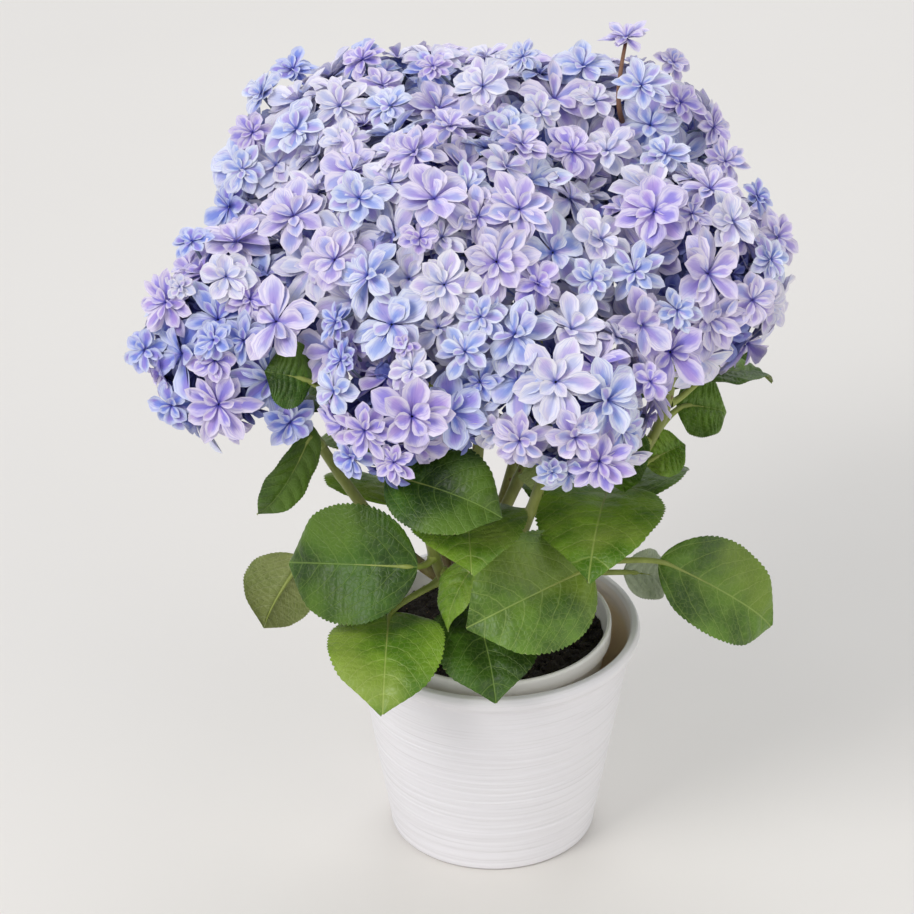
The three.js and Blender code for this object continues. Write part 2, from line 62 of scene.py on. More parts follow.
# %% Camera
LOOK_AT = (-0.01919, 0.0, 0.22373)
CAMERA_DISTANCE = 2.698
CAMERA_PITCH = math.radians(30.66)
LENS = 204.66
SENSOR = 36.0
FRAME = 914

camera_data = bpy.data.cameras.new("camera")
camera_data.lens = LENS
camera_data.sensor_width = SENSOR
camera_data.clip_end = 30
camera = bpy.data.objects.new("camera", camera_data)
camera.location = (
    LOOK_AT[0],
    LOOK_AT[1] - CAMERA_DISTANCE * math.cos(CAMERA_PITCH),
    LOOK_AT[2] + CAMERA_DISTANCE * math.sin(CAMERA_PITCH),
)
camera.rotation_euler = (math.pi / 2 - CAMERA_PITCH, 0, 0)
scene.collection.objects.link(camera)
scene.camera = camera
print("camera stands at", [round(x, 3) for x in camera.location])

# %% Lamps
HEART = np.array([0.0, 0.0, 0.25])
LAMPS = (  # name, place, width, power and colour of square lamps that face the plant's heart
    ("key_lamp", (-1.5, -1.45, 2.15), 1.2, 37, (1.0, 0.98, 0.97)),
    ("fill_lamp", (1.8, -1.5, 1.4), 1.6, 11, (1.0, 0.95, 0.86)),
    ("back_lamp", (0.2, 1.7, 2.1), 1.4, 18, (0.98, 0.98, 1.0)),
)
for name, place, width, power, colour in LAMPS:
    data = bpy.data.lights.new(name, "AREA")
    data.size, data.energy, data.color = width, power, colour
    lamp = bpy.data.objects.new(name, data)
    lamp.location = place
    away = place - HEART
    lean = math.atan2(math.hypot(away[0], away[1]), away[2])
    lamp.rotation_euler = (lean, 0, math.atan2(away[1], away[0]) + math.pi / 2)
    scene.collection.objects.link(lamp)

world = bpy.data.worlds.new("soft_room")
world.use_nodes = True
room_light = world.node_tree.nodes["Background"].inputs
room_light["Color"].default_value = (0.93, 0.96, 1.0, 1.0)
room_light["Strength"].default_value = 0.6
scene.world = world
scene.view_settings.view_transform = "Standard"
scene.view_settings.look = "None"
print("lamps:", [lamp[0] for lamp in LAMPS])


# %% [markdown]
# ## Materials from nodes
# Every finish here is procedural: noise and a few sums decide each colour, so
# nothing is read from an image. A small class keeps the recipes short. It makes
# one material, adds nodes to it, and wires a value or another node's output
# into each socket. Colours are written as they are seen on a screen.

# %% A recipe for one material
def linear(red, green, blue):
    """A screen colour from 0 to 255 as the linear colour that shaders take."""
    parts = np.array([red, green, blue]) / 255
    curved = np.where(parts <= 0.04045, parts / 12.92, ((parts + 0.055) / 1.055) ** 2.4)
    return (*curved.tolist(), 1.0)


class Recipe:
    """A material that is written as a few sums of nodes."""

    def __init__(self, name, roughness, **constants):
        self.material = bpy.data.materials.new(name)
        self.material.use_nodes = True
        self.tree = self.material.node_tree
        self.shader = self.tree.nodes["Principled BSDF"]
        self.shader.inputs["Roughness"].default_value = roughness
        for socket, value in constants.items():
            self.shader.inputs[socket.replace("_", " ")].default_value = value

    def node(self, kind, inputs, output=0, **settings):
        """Adds a node, and gives back one of its outputs."""
        made = self.tree.nodes.new(kind)
        for key, value in settings.items():
            setattr(made, key, value)
        for key, value in inputs.items():
            if isinstance(value, bpy.types.NodeSocket):
                self.tree.links.new(value, made.inputs[key])
            else:
                made.inputs[key].default_value = value
        return made.outputs[output]

    def sum(self, operation, first, second=0.0, third=0.0):
        return self.node("ShaderNodeMath", {0: first, 1: second, 2: third}, operation=operation)

    def times(self, first, second, plus=0.0):
        return self.sum("MULTIPLY_ADD", first, second, plus)

    def minus(self, first, second):
        return self.sum("SUBTRACT", first, second)

    def larger(self, first, second):
        return self.sum("MAXIMUM", first, second)

    def span(self, value, low, high):
        """0 below low, 1 above high, and a soft step between."""
        limits = {"Value": value, "From Min": low, "From Max": high}
        return self.node("ShaderNodeMapRange", limits, interpolation_type="SMOOTHSTEP")

    def drop(self, value, low, high):
        """1 below low, 0 above high, and a soft step between."""
        return self.minus(1.0, self.span(value, low, high))

    def blend(self, first, second, factor):
        """One colour over another. Sockets 6 and 7 take colours, and output 2 gives one."""
        first, second = (linear(*c) if isinstance(c, tuple) else c for c in (first, second))
        return self.node("ShaderNodeMix", {0: factor, 6: first, 7: second}, 2, data_type="RGBA")

    def plan(self):
        """Two coordinates on the piece itself: across and along."""
        flat = self.node("ShaderNodeUVMap", {}, uv_map="plan")
        return [self.node("ShaderNodeSeparateXYZ", {0: flat}, part) for part in (0, 1)]

    def place(self):
        """Where a point of the object is, in metres."""
        return self.node("ShaderNodeTexCoord", {}, "Object")

    def field(self, scale, where):
        """The vector and scale of a texture. Three numbers as a scale stretch it."""
        where = self.place() if where is None else where
        if isinstance(scale, tuple):
            stretched = self.node("ShaderNodeMapping", {"Vector": where, "Scale": scale})
            return {"Vector": stretched, "Scale": 1.0}
        return {"Vector": where, "Scale": scale}

    def noise(self, scale, detail=3.0, rough=0.5, where=None):
        inputs = self.field(scale, where) | {"Detail": detail, "Roughness": rough}
        return self.node("ShaderNodeTexNoise", inputs, "Fac")

    def cells(self, scale, feature="DISTANCE_TO_EDGE"):
        return self.node("ShaderNodeTexVoronoi", self.field(scale, None), "Distance", feature=feature)

    def colour(self, value):
        self.tree.links.new(value, self.shader.inputs["Base Color"])

    def gloss(self, value):
        self.tree.links.new(value, self.shader.inputs["Roughness"])

    def relief(self, height, depth_mm, strength=1.0):
        inputs = {"Height": height, "Strength": strength, "Distance": depth_mm * MM}
        bump = self.node("ShaderNodeBump", inputs, "Normal")
        self.tree.links.new(bump, self.shader.inputs["Normal"])


print("white as a shader takes it:", linear(255, 255, 255))

# %% Floor
FLOOR_HALF = 6.0
floor_paint = Recipe("floor_paint", 0.62)
floor_paint.colour(floor_paint.blend((223, 219, 214), (230, 227, 222), floor_paint.noise(2.2, 4.0)))
floor_paint.relief(floor_paint.noise(160.0), 0.05)
floor_mesh = bpy.data.meshes.new("floor")
corners = [(x * FLOOR_HALF, y * FLOOR_HALF, 0.0) for x, y in ((-1, -1), (1, -1), (1, 1), (-1, 1))]
floor_mesh.from_pydata(corners, [], [(0, 1, 2, 3)])
floor_mesh.materials.append(floor_paint.material)
floor = bpy.data.objects.new("floor", floor_mesh)
scene.collection.objects.link(floor)
print("floor is", 2 * FLOOR_HALF, "m square")


# %% [markdown]
# ## Growing shapes from grids
# Petals, leaf blades, stalks and pots are all bent grids of quads. A heap
# gathers many such grids as arrays and turns them into one mesh at the end,
# which is far quicker than one object for each petal. Each grid keeps a flat
# plan of itself (across and along), which the finishes read, and a tile of a
# shared sheet, so that its colours can be baked later.

# %% Small sums
def unit(vector):
    vector = np.asarray(vector, float)
    return vector / np.linalg.norm(vector, axis=-1, keepdims=True)


def lerp(first, second, share):
    return first + (second - first) * share


def round_angles(count):
    return np.arange(count) * 2 * math.pi / count


def turned(vector, axis, angle):
    """A vector turned about an axis of length 1."""
    return (
        vector * math.cos(angle)
        + np.cross(axis, vector) * math.sin(angle)
        + axis * np.dot(axis, vector) * (1 - math.cos(angle))
    )


def seeded(seed):
    """The same numbers in the same order on every run, from 0 to 1."""
    modulus, factor = 2147483647, 48271
    state = [seed]

    def following():
        state[0] = state[0] * factor % modulus
        return state[0] / modulus

    return following


print("first seeded number:", round(seeded(11)(), 4))


# %% Heap of grids
class Heap:
    """Grids of quads that become one mesh."""

    def __init__(self):
        self.points, self.quads, self.plans, self.tiles, self.slots = [], [], [], [], []
        self.total = 0

    def add(self, grids, across=None, along=None, shift=(0, 0), tiles=(0, 0, 1, 1), slots=0, closed=False):
        """Takes one grid of (rows, columns, 3), or many. A tile is a corner and a size."""
        grids = np.asarray(grids, float)
        grids = grids[None] if grids.ndim == 3 else grids
        count, rows, columns = grids.shape[:3]
        strips = columns if closed else columns - 1
        across = np.arange(strips + 1) / strips if across is None else across
        along = np.linspace(0, 1, rows) if along is None else along
        row, column = (part.ravel() for part in np.indices((rows - 1, strips)))
        corner_row = row[:, None] + [0, 0, 1, 1]
        corner_column = column[:, None] + [0, 1, 1, 0]
        quads = corner_row * columns + corner_column % columns
        first = self.total + np.arange(count)[:, None, None] * rows * columns
        across = np.broadcast_to(across, (rows, strips + 1))[corner_row, corner_column]
        plan = np.stack([across, np.asarray(along)[corner_row]], -1)
        shift = np.broadcast_to(shift, (count, 2))[:, None, None]
        tiles = np.broadcast_to(tiles, (count, 4))[:, None, None]
        sheet = np.stack([corner_column / strips, corner_row / (rows - 1)], -1)
        self.points.append(grids.reshape(-1, 3))
        self.quads.append((first + quads).reshape(-1, 4))
        self.plans.append((plan + shift).reshape(-1, 2))
        self.tiles.append((tiles[..., :2] + sheet * tiles[..., 2:]).reshape(-1, 2))
        self.slots.append(np.repeat(np.broadcast_to(slots, (count,)), len(quads)))
        self.total += grids.size // 3

    def piece(self, name, materials, replaces=()):
        """One object of all the grids, on the plant, with the frame parts that it replaces hidden."""
        points, quads = np.concatenate(self.points), np.concatenate(self.quads)
        mesh = bpy.data.meshes.new(name)
        mesh.vertices.add(len(points))
        mesh.vertices.foreach_set("co", (points * MM).ravel())
        mesh.loops.add(quads.size)
        mesh.loops.foreach_set("vertex_index", quads.ravel())
        mesh.polygons.add(len(quads))
        mesh.polygons.foreach_set("loop_start", np.arange(0, quads.size, 4))
        mesh.polygons.foreach_set("material_index", np.concatenate(self.slots).astype(np.int32))
        mesh.polygons.foreach_set("use_smooth", np.ones(len(quads), bool))
        for label, values in (("plan", self.plans), ("OFBake", self.tiles)):
            layer = mesh.uv_layers.new(name=label)
            layer.data.foreach_set("uv", np.concatenate(values).ravel())
        for recipe in materials:
            mesh.materials.append(recipe.material)
        mesh.update()
        mesh.validate()
        made = bpy.data.objects.new(name, mesh)
        scene.collection.objects.link(made)
        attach(made, "root")
        if replaces:
            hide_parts(*replaces)
        print(f"{name}: {2 * len(quads)} triangles")
        return made


# %% Curves and tubes
TUBE_ASIDE = (0.31, 0.87, 0.38)  # no tube starts out along this direction


def bezier(controls, shares):
    """Points and directions along a Bezier curve of three or four control points."""
    controls = np.asarray(controls, float)
    t = np.asarray(shares, float)[:, None]
    s = 1 - t
    if len(controls) == 3:
        a, b, c = controls
        return s**2 * a + 2 * s * t * b + t**2 * c, unit(s * (b - a) + t * (c - b))
    a, b, c, d = controls
    slope = s**2 * (b - a) + 2 * s * t * (c - b) + t**2 * (d - c)
    return s**3 * a + 3 * s**2 * t * b + 3 * s * t**2 * c + t**3 * d, unit(slope)


def bent_curve(start, leaving, end, arriving, bend):
    span = np.linalg.norm(end - start)
    return [start, start + leaving * span * bend, end - arriving * span * bend, end]


def add_tube(heap, path, radii, sides, slot=0, tile=(0, 0, 1, 1)):
    """Rings round a path. radii is one number for each ring, or one for each point of each ring."""
    path = np.asarray(path, float)
    slopes = unit(np.gradient(path, axis=0))
    radii = np.asarray(radii, float)
    if radii.ndim == 1:
        radii = np.repeat(radii[:, None], sides, 1)
    normal = np.cross(slopes[0], TUBE_ASIDE)
    angles = round_angles(sides)[:, None]
    rings = []
    for point, slope, radius in zip(path, slopes, radii):
        normal = unit(normal - slope * np.dot(normal, slope))
        other = np.cross(slope, normal)
        rings.append(point + radius[:, None] * (np.cos(angles) * normal + np.sin(angles) * other))
    heap.add(rings, tiles=tile, slots=slot, closed=True)


print("middle of a bent curve:", bezier(bent_curve(ORIGIN, UP, RIGHT, UP, 0.4), [0.5])[0].round(2))

# %% [markdown]
# ## Cover pot
# A glazed cover pot that was turned on a wheel, with a plain rounded lip over a
# body combed into fine uneven rings. A bump map alone would leave its outline
# smooth, so the rings are real: the lathe profile is cut into many thin bands,
# and each ring's depth drifts a little as it goes round, as a hand-held comb
# leaves it.

# %% Rings on the body
POT = dict(height=123.5, rim=78.0, foot=54.5, lip=5.5, lip_height=11.5, floor=6.0)
POT_SIDES = 224
RING_PITCH = 2.3
RING_DEPTH = 0.36
BANDS_PER_RING = 6
SWAY_WAVES = (1, 2, 3, 5)
body_top = POT["height"] - POT["lip_height"]
body_top_radius = POT["rim"] - 4.8


def ring_relief(heights, sides, seed):
    """How far the wall stands in or out at each height and each side, in mm."""
    random = seeded(seed)
    angles = round_angles(sides)
    relief = np.zeros((len(heights), sides))
    height = heights[0]
    while height < heights[-1]:
        pitch = RING_PITCH * (0.6 + 0.9 * random())
        depth = RING_DEPTH * (0.35 + 0.9 * random())
        sway = sum(random() * 0.35 * np.sin(wave * angles + 2 * math.pi * random()) for wave in SWAY_WAVES)
        fade = 0.75 + 0.25 * np.sin(2 * angles + 2 * math.pi * random())
        reach = (heights[:, None] - height - sway[None]) / (0.5 * pitch)
        relief -= depth * fade[None] * np.exp(-(reach**2))
        height += pitch
    return relief


body_heights = np.arange(3.2, body_top, RING_PITCH / BANDS_PER_RING)
body_radii = lerp(POT["foot"], body_top_radius, (body_heights - 1.5) / (body_top - 1.5))
body_relief = ring_relief(body_heights, POT_SIDES, 5)
print("deepest ring, mm:", round(float(-body_relief.min()), 2))

# %% Pot profile
AXIS_GAP = 0.5  # a turned profile starts and ends this far from its axis
CORNER_SHARE = 0.35


def rounded(corners, steps):
    """A profile through corners, with each inner corner cut round by a few short steps."""
    corners = np.array(corners, float)
    line = [corners[0]]
    for before, corner, after in zip(corners, corners[1:], corners[2:]):
        room = CORNER_SHARE * min(np.linalg.norm(before - corner), np.linalg.norm(after - corner))
        start, end = corner + unit(before - corner) * room, corner + unit(after - corner) * room
        shares = np.linspace(0, 1, steps)[:, None]
        line.extend((1 - shares) ** 2 * start + 2 * shares * (1 - shares) * corner + shares**2 * end)
    return np.array([*line, corners[-1]])


def lathe(outline, sides, relief=0.0, centre=(0.0, 0.0)):
    """Rings of a turned shape from (radius, height) points."""
    angles = round_angles(sides)
    radii = np.repeat(outline[:, :1], sides, 1) + relief
    heights = np.repeat(outline[:, 1:], sides, 1)
    return np.stack([centre[0] + radii * np.cos(angles), centre[1] + radii * np.sin(angles), heights], -1)


foot, rim, top, bottom = (POT[key] for key in ("foot", "rim", "height", "floor"))
bore = rim - POT["lip"]
pot_foot = rounded([(AXIS_GAP, 0), (foot - 1.5, 0), (foot, 1.5), (foot + 0.2, 3.0)], 4)
pot_outer_lip = [
    (body_top_radius + 0.1, body_top + 0.2), (rim - 1.2, top - 7.8), (rim, top - 3.6), (rim - 1.5, top - 0.4),
]
pot_inner_lip = [(bore + 1, top), (bore, top - 2), (bore - 1.5, top - 10.5)]
pot_floor = [(foot - 5, bottom + 2), (foot - 7, bottom), (AXIS_GAP, bottom)]
LIP_STEPS = 7
pot_lip = rounded(pot_outer_lip + pot_inner_lip + pot_floor, LIP_STEPS)
profile = np.concatenate([pot_foot, np.stack([body_radii, body_heights], 1), pot_lip])
lip_turn = 5 * LIP_STEPS + 1  # the wall is inside after the fifth rounded corner of the lip
INSIDE_FROM = (len(pot_foot) + len(body_heights) + lip_turn) / len(profile)
print("pot profile points:", len(profile))

# %% Turn the pot
FADE_IN, FADE_OUT = 2, 1.5  # the rings fade out over these heights, in mm
relief_fade = np.minimum(1, (body_heights - body_heights[0]) / FADE_IN)
relief_fade = relief_fade * np.minimum(1, (body_heights[-1] - body_heights) / FADE_OUT)
pot_relief = np.zeros((len(profile), POT_SIDES))
pot_relief[len(pot_foot) : len(pot_foot) + len(body_heights)] = body_relief * relief_fade[:, None]

glaze = Recipe("white_glaze", 0.34, Coat_Weight=0.25, Coat_Roughness=0.18)
combed = glaze.noise((14, 14, 900))
tone = glaze.blend((238, 236, 240), (246, 244, 247), glaze.noise(14.0, 4.0))
tone = glaze.blend(tone, (206, 203, 204), glaze.times(glaze.span(combed, 0.5, 0.8), 0.4))
inside = glaze.span(glaze.plan()[1], INSIDE_FROM - 0.01, INSIDE_FROM + 0.02)
glaze.colour(glaze.blend(tone, (252, 230, 196), inside))
glaze.gloss(glaze.times(combed, 0.22, 0.24))
glaze.relief(combed, 0.16, 0.8)

pot = Heap()
pot.add(lathe(profile, POT_SIDES, pot_relief), closed=True)
pot.piece("ribbed_pot", [glaze], ["pot"])

# %% [markdown]
# ## Grower's pot and compost
# The plant still stands in the thin plastic pot it was sold in, a little off
# centre inside the cover pot. It is turned from a profile as well, with a plain
# band at its top. Its compost is dark and crumbly: a low mound with small crumbs
# pressed into it, each a squashed ball of its own.

# %% Grower's pot
LINER = dict(x=-1.0, y=-4.0, top=127.5, rim=63.5, band=10.0, foot=43.0, wall=1.6, top_radius=61.0)
CLEARANCE = 0.3
LINER_SIDES = 120
liner_centre = (LINER["x"], LINER["y"])
liner_base = POT["floor"] + CLEARANCE
liner_floor = liner_base + LINER["wall"]
liner_bore = LINER["foot"] - LINER["wall"]


def liner_inside(height):
    """Inner radius of the grower's pot at a height."""
    share = (height - liner_floor) / (LINER["top"] - liner_floor)
    return lerp(liner_bore, LINER["top_radius"], share)


thin_plastic = Recipe("thin_plastic", 0.42)
scuff = thin_plastic.noise((60, 60, 260), 4.0)
thin_plastic.colour(thin_plastic.blend((236, 234, 230), (248, 247, 244), scuff))
thin_plastic.gloss(thin_plastic.times(scuff, 0.25, 0.3))
thin_plastic.relief(thin_plastic.noise(900.0), 0.03)

band_foot, rim, top = LINER["top"] - LINER["band"], LINER["rim"], LINER["top"]
liner_outside = [(AXIS_GAP, liner_base), (LINER["foot"], liner_base)]
liner_band = [
    (liner_inside(band_foot) + LINER["wall"], band_foot - 0.5), (rim - 0.3, band_foot), (rim, top - 1.2),
]
liner_lip = [
    (rim - 1.0, top), (LINER["top_radius"], top - 0.4), (liner_bore, liner_floor), (AXIS_GAP, liner_floor),
]
liner_profile = rounded(liner_outside + liner_band + liner_lip, 5)
liner = Heap()
liner.add(lathe(liner_profile, LINER_SIDES, centre=liner_centre), closed=True)
liner.piece("growers_pot", [thin_plastic], ["nursery_pot"])

# %% Mound of compost
SOIL_TOP = 117.0
SOIL_RINGS, SOIL_SECTORS = 46, 150
MOUND_WAVES = 24

compost = Recipe("moist_compost", 0.9)
tone = compost.blend((14, 11, 9), (40, 30, 22), compost.noise(220.0, 4.0))
compost.colour(compost.blend(tone, (120, 92, 62), compost.span(compost.noise(900.0, 2.0), 0.66, 0.74)))
compost.relief(compost.cells(420.0, "F1"), 1.2)

random = seeded(19)
waves = [
    (0.55 * random(), 1.6 * (random() - 0.5), 1.6 * (random() - 0.5), 6.3 * random())
    for _ in range(MOUND_WAVES)
]
soil_radius = liner_inside(SOIL_TOP) - CLEARANCE
soil_radii = np.linspace(0.4, soil_radius, SOIL_RINGS)[:, None]
soil_x, soil_y = (soil_radii * turn(round_angles(SOIL_SECTORS)) for turn in (np.cos, np.sin))
bumps = sum(size * np.sin(soil_x * kx + soil_y * ky + phase) for size, kx, ky, phase in waves)
soil_heights = SOIL_TOP - 0.6 + bumps
soil_rings = np.stack([LINER["x"] + soil_x, LINER["y"] + soil_y, soil_heights], -1)
soil_floor = liner_floor + CLEARANCE
soil_foot = liner_inside(liner_floor) - CLEARANCE
soil_side = [(soil_radius, SOIL_TOP - 1.0), (soil_foot, soil_floor), (0.4, soil_floor)]
soil = Heap()
soil.add(soil_rings, tiles=(0, 0, 1, 0.7), closed=True)
soil.add(lathe(np.array(soil_side), SOIL_SECTORS, centre=liner_centre), tiles=(0, 0.72, 1, 0.1), closed=True)
print("compost radius, mm:", round(soil_radius, 1))

# %% Crumbs on the mound
CRUMBS, CRUMBS_PER_ROW = 420, 30
CRUMB_ROWS, CRUMB_COLUMNS = 5, 6
crumb_polar = np.linspace(0.05, math.pi - 0.05, CRUMB_ROWS)[:, None]
crumb_round = round_angles(CRUMB_COLUMNS)[None]
ball_x, ball_y = (np.sin(crumb_polar) * turn(crumb_round) for turn in (np.cos, np.sin))
ball = np.stack([ball_x, ball_y, np.cos(crumb_polar) + 0 * crumb_round], -1)
crumbs = []
for _ in range(CRUMBS):
    radius, angle = (soil_radius - 3) * math.sqrt(random()), 2 * math.pi * random()
    size = 0.7 + 1.7 * random() ** 2
    middle = [LINER["x"] + radius * math.cos(angle), LINER["y"] + radius * math.sin(angle), SOIL_TOP - 0.3]
    crumb_size = [size, size * (0.6 + 0.6 * random()), size * 0.7]
    crumbs.append(np.array(middle) + ball * crumb_size * (0.8 + 0.4 * random()))
places = (divmod(i, CRUMBS_PER_ROW) for i in range(CRUMBS))
crumb_tiles = [[0.02 + 0.03 * column, 0.84 + 0.01 * row, 0.025, 0.008] for row, column in places]
soil.add(crumbs, tiles=crumb_tiles, closed=True)
soil.piece("compost_mound", [compost], ["soil"])

# %% [markdown]
# ## How the shrub branches
# One woody foot leans a little and forks low. Every cane leaves it on a short
# stub and bends up to its own head. The table below is the whole plant: where
# each head is, how wide and how deep it is, how high its cane forks, and the
# mix of petal tints that it carries. All other pieces are grown from it.

# %% Heads
HEAD_FIELDS = ("at", "across", "deep", "fork", "seed", "tints", "shade")
HEADS = {
    name: dict(zip(HEAD_FIELDS, (np.array(at, float), *rest)))
    for name, at, *rest in (
        ("centre", (-27, -8, 340), 80, 78, 1.0, 11, "cccclllppp", "m"),
        ("left", (-126, -20, 304), 58, 62, 0.5, 23, "clppvvbb", "s"),
        ("upper_left", (-90, 78, 347), 53, 50, 0.43, 37, "ccppppllb", "b"),
        ("top_left", (-50, 108, 360), 48, 42, 0.66, 47, "ccppplvb", "b"),
        ("top", (8, 92, 362), 58, 46, 0.92, 41, "ccccpplv", "b"),
        ("upper_right", (76, 94, 358), 48, 46, 0.68, 59, "cccpppll", "b"),
        ("right", (91, 0, 328), 64, 62, 0.5, 67, "ccccclllp", "m"),
        # The low left head's mix is darker, with the mid_shade tint m among its own: partly bluer florets,
        # partly painted shade under the crown.
        ("low_left", (-48, -94, 304), 36, 36, 0.34, 73, "vvvbbbm", "s"),
        ("low_right", (38, -94, 308), 46, 44, 0.44, 89, "ccclppv", "s"),
        ("back_left", (-56, 134, 300), 48, 44, 0.26, 97, "cpplv", "m"),
        ("back_right", (46, 138, 302), 50, 46, 0.36, 103, "cpplv", "m"),
    )
}
HUB = np.array([-14.0, -8.0, 110.0])
UPRIGHT = "right"  # the head whose cane comes up straight into it


def head_frame(head):
    """A head's centre, its own axis, and two sides square to it."""
    axis = unit(head["at"] - HUB)
    side = unit(np.cross([0, 1, 0], axis))
    return head["at"], axis, side, np.cross(axis, side)


print("heads:", ", ".join(HEADS))

# %% Where each cane runs
STEM = dict(
    foot=(-12, -6), crown=(-18, -9), height=46.0,
    foot_radius=14.0, waist=8.5, crown_radius=7.0, lobes=5, lobe_depth=0.16,
)
STUB = dict(lowest=0.25, highest=0.97, length=17.0, radius=4.0, tip=3.6, foot_spread=0.7, crown_spread=0.1)
CANE = dict(radius=3.3, tip=2.6, bend=0.36)
HEAD_STEM_DEPTH = 0.86
stem_foot = SOIL_TOP + CLEARANCE
stem_controls = [
    (*STEM["foot"], stem_foot),
    (*STEM["foot"], stem_foot + STEM["height"] * 0.45),
    (*STEM["crown"], stem_foot + STEM["height"]),
]
for name, head in HEADS.items():
    centre, axis, _, _ = head_frame(head)
    stand = UP if name == UPRIGHT else axis
    fork = bezier(stem_controls, [lerp(STUB["lowest"], STUB["highest"], head["fork"])])[0][0]
    tip = centre - stand * head["deep"] * HEAD_STEM_DEPTH
    outward = unit((tip - fork) * [1, 1, 0])
    spread = lerp(STUB["foot_spread"], STUB["crown_spread"], head["fork"])
    leaving = unit(unit(tip - fork) + outward * spread)
    foot = fork + leaving * (STUB["length"] + CLEARANCE)
    head |= dict(cane=bent_curve(foot, leaving, tip, stand, CANE["bend"]), stub=(fork, foot), stand=stand)
print("longest cane, mm:", round(max(np.linalg.norm(h["cane"][3] - h["cane"][0]) for h in HEADS.values())))

# %% [markdown]
# ## Bark and green canes
# Old hydrangea wood is thin, grey-brown and stringy, and it splits along the
# grain. Young canes are smooth and olive green with small raised corky spots,
# and they swell slightly where a pair of leaves grows. The bark's relief runs
# along the stem, so its noise is stretched along the height.

# %% Bark and cane finishes
bark = Recipe("stringy_bark", 0.78)
strings = bark.noise((420, 420, 36), 5.0, 0.6)
cracks = bark.cells((260, 260, 40))
tone = bark.blend((74, 58, 38), (156, 136, 98), strings)
bark.colour(bark.blend((42, 32, 22), tone, bark.span(cracks, 0.0, 0.16)))
bark.relief(bark.times(strings, 0.7, bark.span(cracks, 0.0, 0.2)), 0.9)

OLD_UP_TO, YOUNG_FROM = 0.17, 0.23  # a cane turns green between these heights, in metres
cane_skin = Recipe("green_cane", 0.46)
grain = cane_skin.noise((300, 300, 30), 4.0)
height = cane_skin.node("ShaderNodeSeparateXYZ", {0: cane_skin.place()}, 2)
young = cane_skin.span(cane_skin.times(grain, 0.05, height), OLD_UP_TO, YOUNG_FROM)
green = cane_skin.blend((108, 118, 52), (160, 166, 92), grain)
brown = cane_skin.blend((96, 78, 48), (140, 122, 78), grain)
spots = cane_skin.cells((210, 210, 90), "F1")
tone = cane_skin.blend(brown, green, young)
cane_skin.colour(cane_skin.blend((112, 88, 54), tone, cane_skin.span(spots, 0.12, 0.2)))
cane_skin.relief(cane_skin.times(grain, 0.5, spots), 0.25)
print("canes are green above, mm:", round(YOUNG_FROM / MM))

# %% Woody foot
FOOT_SIDES, FOOT_RINGS = 72, 60
FLARE_DECAY = 7.0
RIDGES = 8
CAP_RINGS, CAP_CURVE = 6, 5.2  # the last rings close the top of the foot in a dome


def foot_radius(share, angles, ridges):
    """The foot flares and is lobed low down, and its bark stands in ridges."""
    flare = (STEM["foot_radius"] - STEM["waist"]) * math.exp(-FLARE_DECAY * share)
    lobes = 1 + STEM["lobe_depth"] * np.cos(STEM["lobes"] * angles) * math.exp(-FLARE_DECAY * 0.5 * share)
    raised = sum(size * np.sin(wave * angles + drift * share + phase) for size, wave, drift, phase in ridges)
    return (lerp(STEM["waist"], STEM["crown_radius"], share) + flare) * lobes + raised


random = seeded(31)
ridges = [
    (0.32 * random(), 6 + int(14 * random()), 8 * (random() - 0.5), 6.3 * random())
    for _ in range(RIDGES)
]
foot_shares = np.linspace(0, 1, FOOT_RINGS)
foot_radii = np.array([foot_radius(share, round_angles(FOOT_SIDES), ridges) for share in foot_shares])
cap = np.sqrt(np.clip(1 - (np.arange(CAP_RINGS) / CAP_CURVE) ** 2, 0.02, 1))
foot_radii[-CAP_RINGS:] *= cap[:, None]
wood = Heap()
add_tube(wood, bezier(stem_controls, foot_shares)[0], foot_radii, FOOT_SIDES, tile=(0.0, 0.0, 0.5, 1.0))
print("widest radius of the foot, mm:", round(float(foot_radii.max()), 1))

# %% Stubs and canes
STUB_RINGS, CANE_RINGS, CANE_SIDES = 5, 46, 16
JOINTS = dict(shares=(0.2, 0.42, 0.66, 0.86), swell=0.45, width=0.018, stray=0.05)
NECK = dict(rings=5, start=3, reach=0.62, radius=2.5, tip=1.4)  # the cane goes on inside its head
canes = Heap()
cane_points = []
for index, head in enumerate(HEADS.values()):
    fork, foot = head["stub"]
    stub = fork + (foot - fork) * np.linspace(0, 1, STUB_RINGS)[:, None]
    stub_radii = np.linspace(STUB["radius"] + 0.5, STUB["tip"], STUB_RINGS)
    add_tube(wood, stub, stub_radii, CANE_SIDES, tile=(0.5 + 0.04 * index, 0.0, 0.035, 1.0))
    shares = np.linspace(0, 1, CANE_RINGS)
    path = bezier(head["cane"], shares)[0]
    radii = lerp(CANE["radius"], CANE["tip"], shares)
    random = seeded(head["seed"] + 7)
    for joint in JOINTS["shares"]:
        off = (shares - joint + JOINTS["stray"] * (random() - 0.5)) / JOINTS["width"]
        radii += JOINTS["swell"] * np.exp(-(off**2))
    neck = np.linspace(NECK["start"], NECK["reach"] * head["deep"], NECK["rings"])
    path = np.concatenate([path, path[-1] + head["stand"] * neck[:, None]])
    radii = np.concatenate([radii, np.linspace(NECK["radius"], NECK["tip"], NECK["rings"])])
    add_tube(canes, path, radii, CANE_SIDES, tile=(0.09 * index, 0.0, 0.08, 1.0))
    cane_points.append(path)
wood.piece("woody_foot", [bark], ["main_stem"])
canes.piece("green_canes", [cane_skin], [f"cane_{name}" for name in HEADS])

# %% [markdown]
# ## Leaves
# Hydrangea leaves are broad, pointed and toothed, and the blade puckers up
# between its side veins. The table gives each leaf's cane, where it grows on
# it, the blade's base and tip, its width and its roll. The blade is a grid: the
# outline gives its width, a saw wave cuts the teeth, and the same sum that
# draws the veins in the finish also lifts the panels between them, so colour
# and relief agree.

